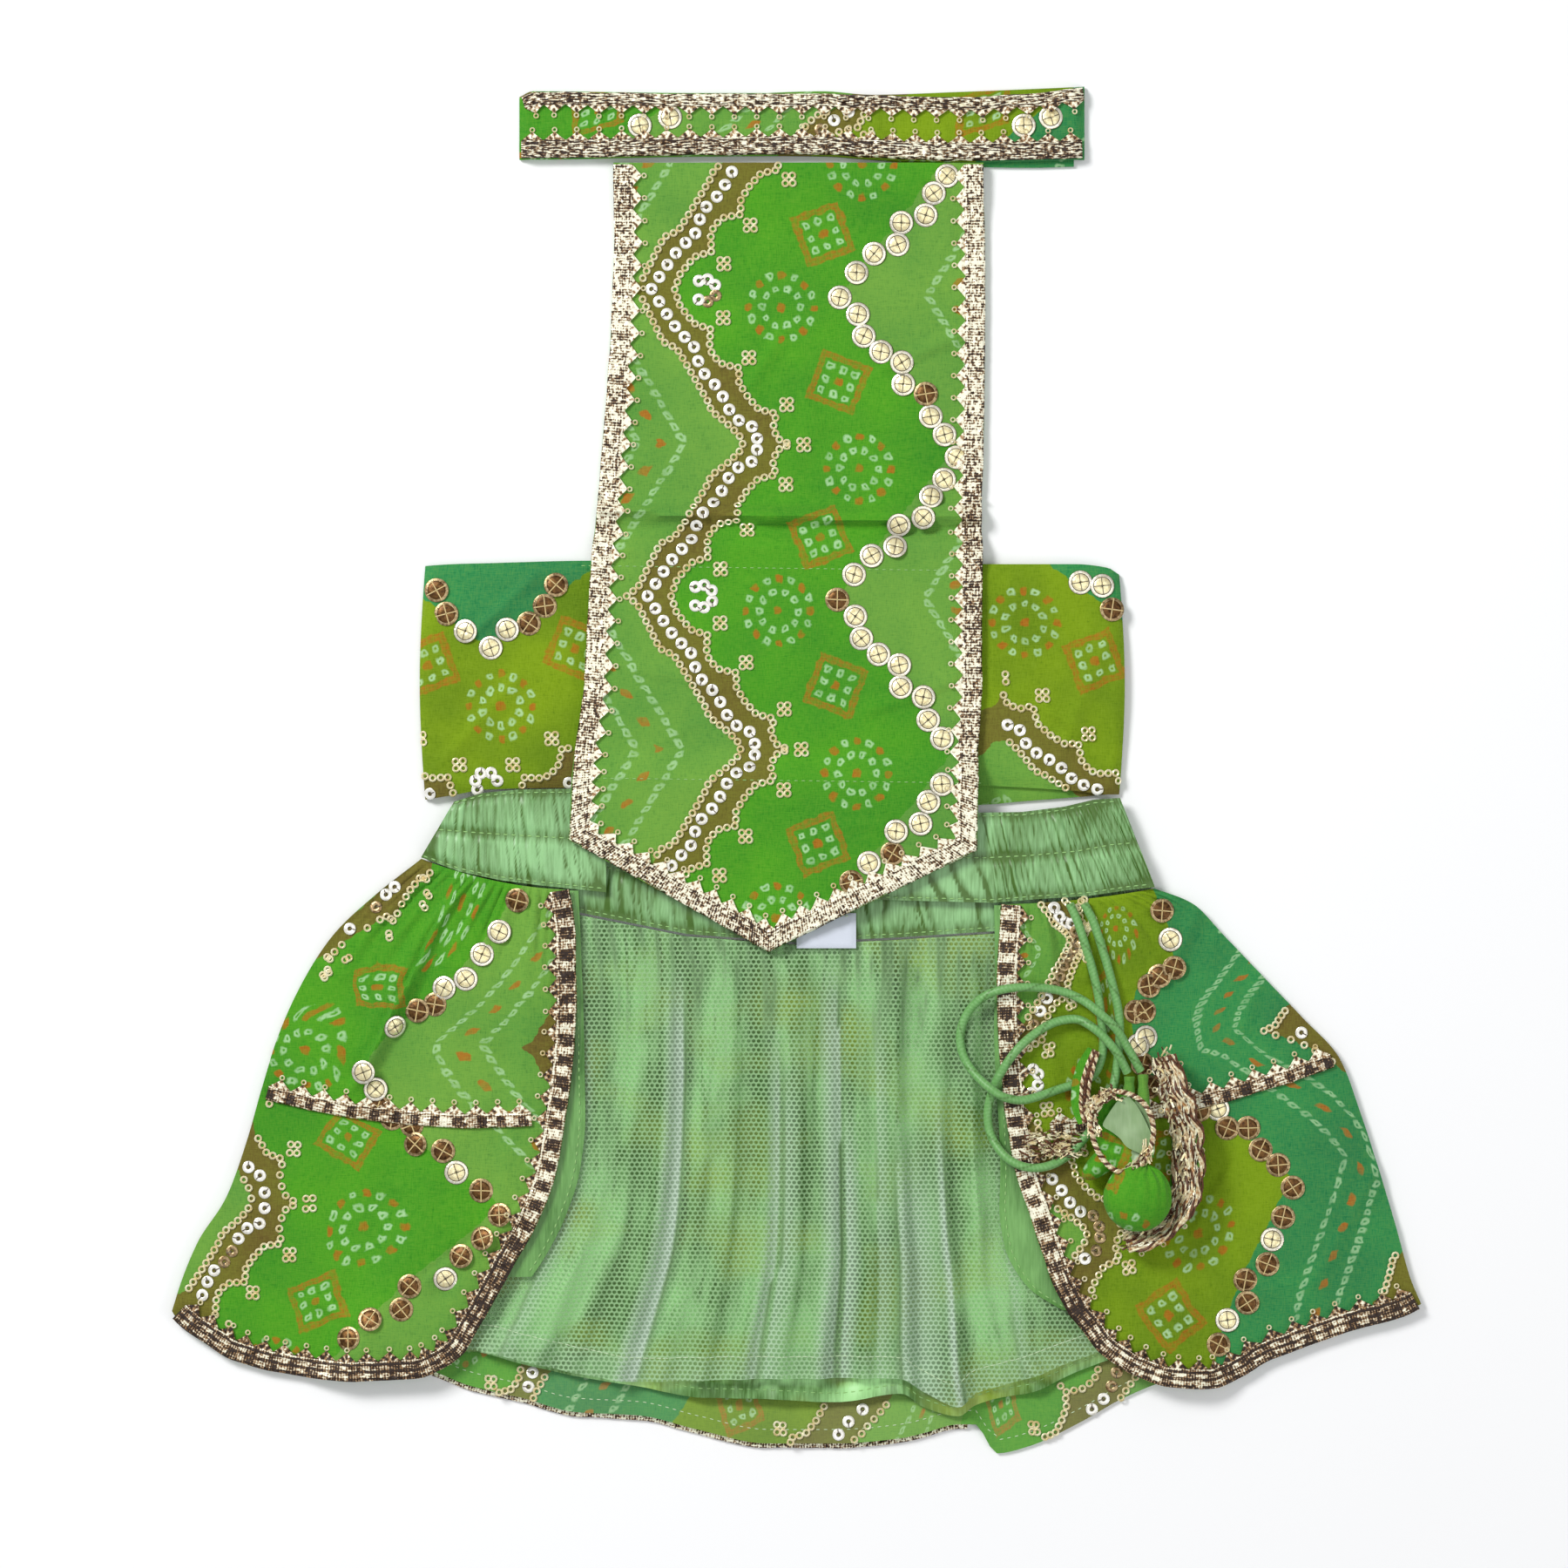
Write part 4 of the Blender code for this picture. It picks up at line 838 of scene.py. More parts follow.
def read(rows, column, at, pick=None):
    """A column of a table at any place, on a curve that doesn't overshoot its rows."""
    keys = [row[0] for row in rows]
    cells = [getattr(row, column) if pick is None else getattr(row, column)[pick] for row in rows]
    if keys[0] > keys[-1]:
        at, keys = -at, [-key for key in keys]
    at = min(max(at, keys[0]), keys[-1])
    i = max(k for k in range(len(keys) - 1) if keys[k] <= at)
    rises = [(b - a) / (q - p) for a, b, p, q in zip(cells, cells[1:], keys, keys[1:])]

    def slope(k):
        if k in (0, len(keys) - 1):
            return rises[i]
        before, after = rises[k - 1], rises[k]
        return 0.0 if before * after <= 0 else 2.0 * before * after / (before + after)
    width = keys[i + 1] - keys[i]
    t = (at - keys[i]) / width
    return ((2 * t**3 - 3 * t**2 + 1) * cells[i] + (t**3 - 2 * t**2 + t) * width * slope(i)
            + (3 * t**2 - 2 * t**3) * cells[i + 1] + (t**3 - t**2) * width * slope(i + 1))


def softly(x, y, size, seed=0.0):
    """A slow rise and fall of the cloth, from about -1 to 1."""
    return 1.6 * wobble(x / size, y / size, seed)


def rumpled(x, y, seed=0.0):
    """The rise of handled cloth: slow swells, and a few thin creases that wander."""
    swell = 0.22 * softly(x, y, 26.0, seed) + 0.12 * softly(x, y, 10.0, seed + 3.0)
    wander = wobble(x / 42.0, y / 30.0, seed + 7.0)
    crease = max(1.0 - abs(wander) * 26.0, 0.0) * (0.5 + softly(x, y, 30.0, seed + 9.0) * 0.5)
    return swell + 0.4 * max(crease, 0.0)


Wrinkle = namedtuple("Wrinkle", "start end height width")     # from and to in frame pixels


def wrinkled(x, y, wrinkles):
    """The rise of folds pressed into the cloth: a slope on one side, a drop on the other."""
    rise, spot = 0.0, Vector((x, y))
    for fold in wrinkles:
        a, b = Vector(spot_of(*fold.start)), Vector(spot_of(*fold.end))
        way = b - a
        share = (spot - a).dot(way) / way.length_squared
        if not -0.05 < share < 1.05:
            continue
        fade = smoothstep(-0.05, 0.12, share) * (1 - smoothstep(0.85, 1.05, share))
        off = (way.x * (y - a.y) - way.y * (x - a.x)) / way.length
        off += wobble(x / 16.0, y / 16.0, fold.height)
        side = 1 - smoothstep(0.0, fold.width, off) if off > 0 else 1 - smoothstep(0.0, 1.1, -off)
        rise += fold.height * fade * side
    return rise


thread = dress(new_finish("stitching_thread")[0], Base_Color=dye(150, 196, 120), Roughness=0.55)
pale_thread = dress(new_finish("pale_stitching_thread")[0], Base_Color=dye(206, 226, 188),
                    Roughness=0.55)
STITCH_SPAN, THREAD_FLATNESS = 0.84, 1.3    # of a stitch, between the ends that rest on the cloth


def stitches(name, lines, surface, length, pitch, wall=0.35, finish=thread):
    """Rows of machine stitches: short rounded lengths of thread lying on the cloth."""
    bm = bmesh.new()
    for line in lines:
        line = [Vector(point) for point in line]
        lengths = lengths_along(line)
        for k in range(int(lengths[-1] / pitch)):
            i, q = stretch_at(lengths, (k + 0.5) * pitch)
            spot = line[i].lerp(line[i + 1], q)
            way = (line[i + 1] - line[i]).normalized()
            ends = [top_of(surface, *(spot + way * length * side))
                    for side in (-STITCH_SPAN / 2, STITCH_SPAN / 2)]
            rise = atan2(ends[1] - ends[0], length * STITCH_SPAN)
            made = bmesh.ops.create_icosphere(bm, subdivisions=1, radius=0.5)["verts"]
            bmesh.ops.scale(bm, vec=(length, wall * THREAD_FLATNESS, wall), verts=made)
            turn = Matrix.Rotation(atan2(way.y, way.x), 4, "Z")
            turn = turn @ Matrix.Rotation(-rise, 4, "Y")
            place = Matrix.Translation((spot.x, spot.y, sum(ends) / 2 + wall * 0.25))
            bmesh.ops.transform(bm, matrix=place @ turn, verts=made)
    return finished(name, bm, finish)


BAND_CLOTH = 1.2
PanelRow = namedtuple("PanelRow", "level left right lift")
PANEL = rows_of(
    PanelRow, (174, -52.5, 53.5, 1.6), (168, -52.5, 53.5, 1.5), (152, -52.2, 54, 0),
    (121, -53.5, 54, 0), (90, -56, 53.5, 0), (77, -57, 53, 0), (73, -57.4, 53, 2),
    (69, -57.8, 53, 0.6), (64, -58.5, 53.3, 3.1), (41, -60, 53, 3.1), (23, -61, 53, 3.1),
    (6, -63.5, 52, 3.1), (-2, -64.3, 52, 6.6))
PANEL_FOLDS = rows_of(
    Wrinkle, ((640, 585), (905, 597), 1.7, 5), ((860, 597), (1150, 600), 2, 6),
    ((905, 370), (840, 470), 0.6, 5), ((1010, 430), (1120, 380), 0.8, 5),
    ((720, 770), (860, 800), 0.5, 6), ((990, 820), (1110, 780), 0.7, 6))
PANEL_LEFT_CORNER = Vector((-65.0, -20.0))
PANEL_TIP = Vector((-8.0, -52.0))
PANEL_RIGHT_CORNER = Vector((51.5, -23.0))
PANEL_TIP_LIFT, PANEL_SAG = 5.4, 1.8
SAG_FROM, SAG_SPAN = -52.0, 68.0        # where the panel sags between the waistband's front lengths
PANEL_SEAMS, SEAM_ENDS, SEAM_FALL = (650, 893), (666, 1128), 6      # frame pixels
STRAIGHT_SHARE = 0.78      # of the panel's rows, down to where its point starts
PANEL_LAY = Lay(rows_of(
    Mark, (737, 332, 0, -350), (733, 685, 0, 0), (964, 342, 228, -346), (961, 689, 228, 4),
    (753, 1001, 20, 316), (962, 1029, 232, 342)))


def panel_lift(x, y):
    last = PANEL[-1]
    if y >= last.level:
        return read(PANEL, "lift", y)
    fall = min((last.level - y) / (last.level - PANEL_TIP.y), 1.0)
    middle = sin(pi * min(max((x - SAG_FROM) / SAG_SPAN, 0.0), 1.0)) ** 2
    return (mix(last.lift, PANEL_TIP_LIFT, smoothstep(0.3, 1.0, fall))
            - PANEL_SAG * middle * sin(pi * fall))


def panel_place(u, v):
    """Rows go down to the last level of the table, then close in on the point."""
    last = PANEL[-1].level
    if v <= STRAIGHT_SHARE:
        y = mix(PANEL[0].level, last, v / STRAIGHT_SHARE)
        x = mix(read(PANEL, "left", y), read(PANEL, "right", y), u)
    else:
        left, right = PANEL_LEFT_CORNER, PANEL_RIGHT_CORNER
        tip_share = (PANEL_TIP.x - left.x) / (right.x - left.x)
        lower = (left.lerp(PANEL_TIP, u / tip_share) if u <= tip_share
                 else PANEL_TIP.lerp(right, (u - tip_share) / (1 - tip_share)))
        share = (v - STRAIGHT_SHARE) / (1 - STRAIGHT_SHARE)
        x = mix(mix(PANEL[-1].left, PANEL[-1].right, u), lower.x, share)
        y = mix(last, lower.y, share)
    return Vector((x, y, panel_lift(x, y)))


def panel_wall(u, v):
    x, y, _ = panel_place(u, v)
    return BAND_CLOTH + 0.15 + rumpled(x, y, 1.0) + wrinkled(x, y, PANEL_FOLDS)


panel_bm = grid_mesh(90, 176, panel_place, wall=panel_wall)
panel_surface = surface_of(panel_bm)
chest_panel = finished("chest_panel_cloth", panel_bm, printed)
PANEL_LAY.print_onto(chest_panel)
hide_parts("chest_panel")
panel_sides = [row for row in PANEL if row.level > 0.0]
panel_line = ([(row.left, row.level - 0.6) for row in panel_sides]
              + [PANEL_LEFT_CORNER, PANEL_TIP, PANEL_RIGHT_CORNER]
              + [(row.right, row.level - 0.6) for row in reversed(panel_sides)])
panel_seams = [[spot_of(mix(*SEAM_ENDS, share), level + SEAM_FALL * share) for share in even(30)]
               for level in PANEL_SEAMS]
stitches("chest_panel_stitching", panel_seams, panel_surface, length=1.3, pitch=2.1, wall=0.22)
sequins("chest_panel_sequins", PANEL_LAY, panel_surface, range(-1, 2), range(-2, 2), dark=0.12,
        gone=near_line(panel_line, 7.4))

# Gota lace goes round the panel: a woven ribbon of gilt foil with three braided cords and
# a row of pointed loops, machine-sewn with its points inwards.
LACE_WIDTH, NARROW_WIDTH, PICOT, PICOT_PITCH = 5.5, 4.0, 2.7, 6.4
BODY_SHARE = 0.66       # of the lace's rows; the rest make its points
LACE_STEP = 0.45
LACE_ROWS = 12
BAR_PITCH, RIB_PITCH = 6.2, 0.8
BAR_LEVEL, SEAM_LEVEL = 0.44, 0.84      # where its bars and seam lie, as shares of its body
# Where the lace darkens further along, dark lines run along it, this many across its body, and it
# darkens over this length.
DARK_LINES, DARKENS_OVER = 2.6, 22.0
LACE_LIFT = 0.25        # clear of the cloth beneath
LACE_WALL, BRAID_CORD, BRAID_ROUGH = 0.55, 0.42, 0.55
# The gilt's painted highlight, its warm mid tone, and its dark, which serves both its dark bars and
# its painted dark reflection.
GILT, GILT_WARM, GILT_DARK = dye(255, 252, 226), dye(178, 136, 88), dye(42, 24, 10)
Weave = namedtuple("Weave", "base bars bar_share flecks points worn_from strands")


def braid_shine(wire, along, across, level, fleck, drift, darkening, weave):
    """How bright the lace's body is painted: ribs across it, dark bars, seams, dark lines along it
    where it darkens, and drifts of painted reflection.
    """
    strand = grain(wire.node("CombineXYZ", {}, {0: along * 0.45, 1: across * 2.4}), EVEN, 1.0)
    rib = maths("SINE", (along + fleck * 0.6) * (2 * pi / RIB_PITCH))
    beat = abs((along / BAR_PITCH + fleck * 0.20 + drift) % 1.0 - 0.5)
    bar = clamped((beat - (0.5 - weave.bar_share / 2)) * 12.0)
    bar = bar * clamped(4.6 - abs(level - BAR_LEVEL) * 12.0)
    seam = clamped(1.4 - abs(level - SEAM_LEVEL) * 22.0) + clamped(1.0 - abs(level) * 14.0)
    lines = darkening * clamped(maths("SINE", level * (2 * pi * DARK_LINES)) * 1.6)
    dark_bar = weave.bars - clamped(rib - 0.3) * 0.35
    shine = weave.base + rib * mix(0.34, 0.04, weave.strands) - bar * (1.0 - darkening * 0.5) * dark_bar
    shine = shine - seam * 0.45 - darkening * 0.12 - lines * 0.55
    broken = fleck * mix(2.8, 1.6, weave.strands) + strand * mix(1.4, 4.0, weave.strands)
    return shine + broken * weave.flecks + drift * 1.4


def gota_finish(name, body, picot, weave):
    """Gilt lace: a braid of foil flecked with dark, with a ladder of bright and dark bars. Its
    bright and dark flecks and drifts are painted reflection of the foil.

    base and points are how bright the foil is painted in its body and its row of points, bars
    how dark the dark bars are, flecks how much the painted reflection is broken into flecks,
    then how far along the lace it starts to darken, with dark lines along it, and strands is 1
    where its foil runs along the lace and 0 where it runs across.
    """
    material, wire = new_finish(name)
    along, across = thread_map(wire)
    place = object_place(wire)
    fleck, drift = grain(place, EVEN, 1.05), grain(place, EVEN, 0.05)
    darkening = clamped((along - weave.worn_from) / DARKENS_OVER)
    shine = braid_shine(wire, along, across, across / body, fleck, drift, darkening, weave)
    past_body = across - body
    point = abs((along / PICOT_PITCH) % 1.0 - 0.5)
    depth = clamped(past_body / picot)
    rays = abs(((0.5 - point) * 4.0 + depth * 0.6) % 1.0 - 0.5) * 2.0
    in_point = clamped(past_body * 3.0)
    foil = weave.points - 0.45 + rays * 0.8 + fleck * 2.6 + depth * 0.15 - darkening * 0.1
    shine = (shine * (1.0 - in_point) + foil * in_point) * 1.3 - 0.14
    bright = clamped(shine)
    lit_tone = painted(clamped(shine * 2.0 - 1.0), GILT_WARM, GILT)
    return dress(material, Base_Color=painted(clamped(shine * 2.0), GILT_DARK, lit_tone),
                 Metallic=0.15, Roughness=0.55 - bright * 0.2, height=bright, depth=0.4,
                 strength=0.7)


NEVER_DARKENS = 999.0
gota = gota_finish("gota_lace", LACE_WIDTH, PICOT, Weave(0.82, 0.35, 0.45, 1.6, 0.85, NEVER_DARKENS, 0.1))
gota_barred = gota_finish("gota_lace_barred", LACE_WIDTH, PICOT,
                          Weave(0.78, 0.95, 0.60, 1.0, 0.30, 92.0, 0.4))
gota_narrow = gota_finish("gota_lace_narrow", NARROW_WIDTH, PICOT,
                          Weave(0.74, 0.85, 0.50, 0.9, 0.62, NEVER_DARKENS, 0.6))
TIP_LOOP = shape_of("tip_loop", turned([(0.42, 0.0), (0.62, -0.16), (0.82, 0.0), (0.62, 0.18)],
                                       10, lambda radius: 1))


def lace(name, line, inwards, surface, node, finish=gota, width=LACE_WIDTH, picot=PICOT):
    """Gota lace laid along a line of points, its pointed side turned inwards (1 or -1)."""
    line = [Vector(point[:2]) for point in line]
    ways = [(b - a).normalized() for a, b in zip(line, line[1:])]
    sides = [Vector((-way.y, way.x)) * inwards for way in ways]
    sides = [sides[0]] + sides + [sides[-1]]
    mitres = [(a + b) / max(1.0 + a.dot(b), 0.6) for a, b in zip(sides, sides[1:])]
    lengths = lengths_along(line)
    picots = max(round(lengths[-1] / PICOT_PITCH), 1)
    pitch = lengths[-1] / picots

    def body_share(v):
        return min(v / BODY_SHARE, 1.0)

    def depth_at(v, reach):
        """How far into the lace: across its body, then as far into its points as they reach."""
        return width * body_share(v) + reach * max(v - BODY_SHARE, 0) / (1 - BODY_SHARE)

    def place(u, v):
        goal = u * lengths[-1]
        i, q = stretch_at(lengths, goal)
        point = 1.0 - abs(2.0 * (goal / pitch % 1.0) - 1.0)
        depth = depth_at(v, picot * point)
        spot = (line[i] + mitres[i] * depth).lerp(line[i + 1] + mitres[i + 1] * depth, q)
        spot += sides[i + 1] * (0.25 * wobble(goal / 9.0, 0.0, inwards))
        return Vector((spot.x, spot.y, top_of(surface, spot.x, spot.y) + LACE_LIFT))

    def wall(u, v):
        cords = BRAID_CORD * abs(sin(3 * pi * body_share(v))) if v < BODY_SHARE else 0.15
        rough = BRAID_ROUGH * wobble(u * lengths[-1] * 0.9, v * 9.0, 2.0)
        return LACE_WALL + cords + rough * (1.0 if 0.0 < v < 1.0 else 0.4)
    bm = grid_mesh(round(lengths[-1] / LACE_STEP), LACE_ROWS, place, wall=wall,
                   uv=lambda u, v: (u * picots * PICOT_PITCH, depth_at(v, picot)))
    for k in range(picots):
        spot = place((k + 0.5) / picots, 1.0)
        way = (spot - place((k + 0.5) / picots, 0.9)).normalized()
        add_copy(bm, TIP_LOOP, Matrix.Translation(spot + way * 0.65 + Vector((0, 0, 0.3))))
    piece = finished(name, bm, [finish, SEQUIN_FINISHES[CHAIN]], 60)
    if node:
        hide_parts(node)


lace("chest_panel_lace", panel_line, 1, panel_surface, "panel_lace")

# The neck and belly bands are flat tubes of the same cloth. A band's front layer folds
# over at both ends onto its back layer. The neck band has gota lace sewn along both edges;
# the belly band is cut with the cloth turned.
BAND_FRONT, BAND_CURL, CURL_FOOT = 1.6, 2.4, 0.2
BACK_INSET, BOW_REACH = 3.0, 10.0
BandColumn = namedtuple("BandColumn", "across top bottom back_top back_bottom")
NECK_BAND = rows_of(
    BandColumn, (-79.5, 193, 175, 192.5, 175.5), (-75.5, 194.5, 175, 194, 175.5),
    (-28.5, 194, 175.8, 193.5, 176.3), (7.5, 194, 176, 194.7, 176), (21.5, 193.5, 175, 193.7, 175),
    (46.5, 193, 174.2, 194.5, 173.2), (66.5, 194, 174.5, 195.3, 172.8),
    (82.5, 196, 175, 196, 173.2))
BELLY_BAND = rows_of(
    BandColumn, (-106.5, 58.5, -8.5, 58, -8), (-98.5, 59, -7.2, 58.5, -6.7),
    (-88, 59.3, -5.5, 58.8, -5.2), (-58.5, 60, -5, 59.5, -5), (52.5, 59, -4.5, 58.5, -10),
    (64.5, 59, -5, 58.5, -9), (80, 59, -6, 58.5, -7.8), (89, 58, -7, 57.5, -7),
    (92.5, 56, -7, 55.5, -6.5))
BAND_FOLDS = rows_of(
    Wrinkle, ((618, 655), (540, 728), 1.3, 5), ((600, 770), (500, 880), 1, 6),
    ((490, 700), (520, 800), 0.7, 5), ((1160, 790), (1250, 850), 1, 6),
    ((1150, 665), (1200, 740), 0.9, 5), ((1270, 720), (1200, 900), 0.9, 5),
    ((860, 120), (905, 170), 0.4, 3), ((1000, 115), (1010, 175), 0.4, 3))
NECK_LAY = Lay(rows_of(
    Mark, (600, 143, 120, -50), (735, 143, 266, -50), (860, 143, 380, -50), (947, 143, 479, -50),
    (1075, 143, 598, -50), (1175, 143, 704, -50), (1240, 143, 770, -50), (600, 183, 140, -4),
    (1240, 183, 790, -4), (600, 103, 100, -96), (1240, 103, 750, -96)))
BELLY_LAY = Lay([Mark(x, y, across + REPEAT, along) for x, y, across, along in (
    (560, 972, 0, 0), (560, 744, 228, 0), (700, 972, 0, 140), (700, 744, 228, 140),
    (1123, 967, 0, 500), (1123, 739, 228, 500), (1273, 967, 0, 650), (1273, 739, 228, 650))])


def band(name, table, front, end_bow, lay, node, columns, rows):
    """One layer of a flat tube of cloth, softly creased."""
    inset = 0.0 if front else BACK_INSET
    start, end = table[0].across + inset, table[-1].across - inset
    top, bottom = ("top", "bottom") if front else ("back_top", "back_bottom")

    def flat_place(u, v):
        x = mix(start, end, u)
        y = mix(read(table, top, x), read(table, bottom, x), v)
        bow = end_bow * sin(pi * v)
        near_end = max(1 - (x - start) / BOW_REACH, 1 - (end - x) / BOW_REACH, 0.0)
        curl = min(x - start, end - x) + bow
        x += bow * near_end * (-1 if u < 0.5 else 1)
        lift = mix(CURL_FOOT, BAND_FRONT, smoothstep(0.2, BAND_CURL, curl)) if front else 0.0
        return Vector((x, y, lift))

    def wall(u, v):
        x, y, _ = flat_place(u, v)
        edge = smoothstep(0.0, 0.05, min(v, 1 - v))
        return BAND_CLOTH - 0.35 * (1 - edge) + front * edge * (
            0.25 + rumpled(x, y, table[0].top) + wrinkled(x, y, BAND_FOLDS))
    bm = grid_mesh(columns, rows, flat_place, wall=wall)
    surface = surface_of(bm)
    piece = finished(name, bm, printed)
    lay.print_onto(piece)
    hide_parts(node)
    return piece, surface


neck_back, _ = band("neck_band_back_cloth", NECK_BAND, False, 0.0, NECK_LAY,
                    "neck_band_back", 70, 10)
neck_front, neck_surface = band("neck_band_front_cloth", NECK_BAND, True, 0.0, NECK_LAY,
                                "neck_band_front", 160, 22)
belly_back, _ = band("belly_band_back_cloth", BELLY_BAND, False, 1.0, BELLY_LAY,
                     "belly_band_back", 80, 26)
belly_front, belly_surface = band("belly_band_front_cloth", BELLY_BAND, True, 1.5, BELLY_LAY,
                                  "belly_band_front", 150, 52)

# No sequin is placed where lace covers the neck band, or the panel covers the belly band.
NECK_SHOWN, PANEL_MIDDLE, PANEL_COVERS = (180.0, 189.0), -3.0, 62.0
sequins("neck_band_sequins", NECK_LAY, neck_surface, range(0, 2), range(-2, 1), dark=0.2,
        gone=lambda x, y: not NECK_SHOWN[0] <= y <= NECK_SHOWN[1])
sequins("belly_band_sequins", BELLY_LAY, belly_surface, range(0, 2), range(-2, 3), dark=0.3,
        gone=lambda x, y: abs(x - PANEL_MIDDLE) < PANEL_COVERS)
NECK_PICOT, LACE_INSET = 2.4, 0.3
neck_xs = [mix(NECK_BAND[0].across + 0.6, NECK_BAND[-1].across - 0.6, share) for share in even(40)]
for name, column, side, width in (("neck_lace_upper", "top", -1, 3.6),
                                  ("neck_lace_lower", "bottom", 1, 5.0)):
    line = [(x, read(NECK_BAND, column, x) + side * LACE_INSET) for x in neck_xs]
    dim_gota = gota_finish("gota_lace_" + column, width, NECK_PICOT,
                            Weave(0.56, 0.3, 0.45, 1.6, 0.5, NEVER_DARKENS, 1.0))
    lace(name, line, side, neck_surface, "neck_lace_" + column, dim_gota, width, NECK_PICOT)

# The waistband is a satin casing, gathered between three rows of machine stitching: one
# length at the back and two at the front, which end beneath the yoke's point.
Station = namedtuple("Station", "top_x top_y bottom_x bottom_y")
WAISTBAND_LEFT = rows_of(
    Station, (-98, -9, -107.5, -25), (-90, -6.6, -96.5, -29), (-80, -5.6, -85, -31.5),
    (-68, -5.4, -73.5, -33), (-54.5, -5.4, -54.5, -35))
WAISTBAND_RIGHT = rows_of(
    Station, (18, -12, 18, -37), (52.5, -12.2, 56, -38), (64.5, -12, 68, -37),
    (76.5, -10.5, 83.5, -36), (85, -8.5, 95, -34.3), (92.5, -8, 102.5, -33.5))
WAISTBAND_BACK = rows_of(
    Station, (-97, -9.2, -106.6, -25.2), (-86, -7, -92, -31.5), (-60, -12, -64, -40.5),
    (-30, -19, -31.5, -47), (0, -22, 0, -49.4), (28, -20, 28.5, -48), (56, -14.5, 60, -46),
    (78, -12, 85, -40.5), (91.5, -8.8, 101.7, -33.8))
CHANNEL_SEAMS = (0.035, 0.5, 0.965)
WAISTBAND_FRONT = 3.2


def satin(name, light, shade, slub=1.0, lit_tone=None):
    """Satin with fine slubs along its length, painted sheen in broad patches, and painted shade in
    the cloth's hollows; its last colour, where given, is a painted sheen tint in patches of its
    own.
    """
    material, wire = new_finish(name)
    place = object_place(wire)
    streak = grain(place, (1.8, 0.16, 1.0), 0.9, 3.0) * slub
    cloud = grain(place, (1, 0.7, 1), 0.06, 3.0)
    hollow, _ = thread_map(wire)
    lit = clamped(0.62 + streak * 1.1 + cloud * (2.6 if lit_tone else 2.2) - hollow)
    colour = painted(lit, shade, light)
    if lit_tone:
        patch = grain(place, (0.6, 1.0, 1), 0.05, 2.0)
        colour = painted(clamped(patch * 5.0 + 0.15) * 0.65, colour, lit_tone)
    return dress(material, Base_Color=colour, Roughness=0.40 - streak * 0.2,
                 height=streak, depth=0.10, strength=0.35)


band_satin = satin("waistband_satin", dye(148, 200, 136), dye(72, 108, 36), 1.2)


def station(table, u):
    """The top and the bottom of a waistband, a share of the way along its table."""
    place = u * (len(table) - 1)
    i = min(int(place), len(table) - 2)
    ends = [mix(getattr(table[i], a), getattr(table[i + 1], a), place - i) for a in Station._fields]
    return Vector(ends[:2]), Vector(ends[2:])


def from_seam(v):
    """How far down a waistband a place lies from its nearest row of stitching."""
    return min(abs(v - seam) for seam in CHANNEL_SEAMS)


def waistband(name, table, count, height, wall, rise, lean, calm, node):
    """A casing gathered into ridges of uneven width that lean, pinched flat at its seams.

    count is how many ridges it has, and calm(x) is 0 where they are pressed flat.
    """
    random.seed(count)
    widths = [random.uniform(0.3, 1.8) for _ in range(count)]
    starts = [sum(widths[:i]) / sum(widths) for i in range(count + 1)]
    heights = [random.uniform(0.3, 1.0) for _ in range(count)]

    def gather_at(u, v):
        """Which ridge a spot lies on, and how far across it."""
        u -= lean * (v - 0.5) / (table[-1].top_x - table[0].top_x)
        return stretch_at(starts, min(max(u + 0.010 * wobble(u * 26.0, v * 2.5, count), 0.0), 1.0))

    def ridge(u, v):
        i, share = gather_at(u, v)
        break_up = 0.75 + 0.5 * wobble(i * 3.1, v * 3.0, 0.0)
        return heights[i] * break_up * sin(pi * share) ** 0.4

    def place(u, v):
        top, bottom = station(table, u)
        spot = top.lerp(bottom, v)
        return Vector((spot.x, spot.y, height))

    def depth(u, v):
        puff = smoothstep(0.0, 0.13, from_seam(v)) * (0.35 + 0.65 * ridge(u, v))
        return wall + rise * puff * calm(place(u, v).x)

    def hollow(u, v):
        """How deep a spot lies in the gathers, to shade it."""
        edge_fade = 0.55 * (1 - smoothstep(0.0, 0.09, from_seam(v)))
        i, share = gather_at(u, v)
        line = max(1 - share / 0.4, 0.0) * (2.2 * heights[i] - 0.4)
        line *= 0.7 + 1.2 * wobble(i * 5.3, v * 3.0, 2.0)
        return edge_fade + 0.5 * max(0.5 - ridge(u, v), 0.0) + max(line, 0.0) - 0.10, v
    bm = grid_mesh(count * 8, 22, place, wall=depth, uv=hollow)
    surface = surface_of(bm)
    piece = finished(name, bm, band_satin, 80)
    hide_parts(node)
    rows = [[station(table, u)[0].lerp(station(table, u)[1], seam) for u in even(60)]
            for seam in CHANNEL_SEAMS]
    stitches(name + "_stitching", rows, surface, length=1.6, pitch=2.3)
    return piece


waist_back = waistband(
    "waistband_back_satin", WAISTBAND_BACK, 62, 0.0, 1.5, 1.1, 2.0, lambda x: 1.0, "waistband_back")
waist_left = waistband(
    "waistband_left_satin", WAISTBAND_LEFT, 20, WAISTBAND_FRONT, 1.7, 1.3, 7.0,
    lambda x: 1.0 - smoothstep(-72.0, -66.0, x), "waistband_front_left")
waist_right = waistband(
    "waistband_right_satin", WAISTBAND_RIGHT, 36, WAISTBAND_FRONT, 1.7, 1.3, 2.0,
    lambda x: smoothstep(53.0, 58.0, x), "waistband_front_right")

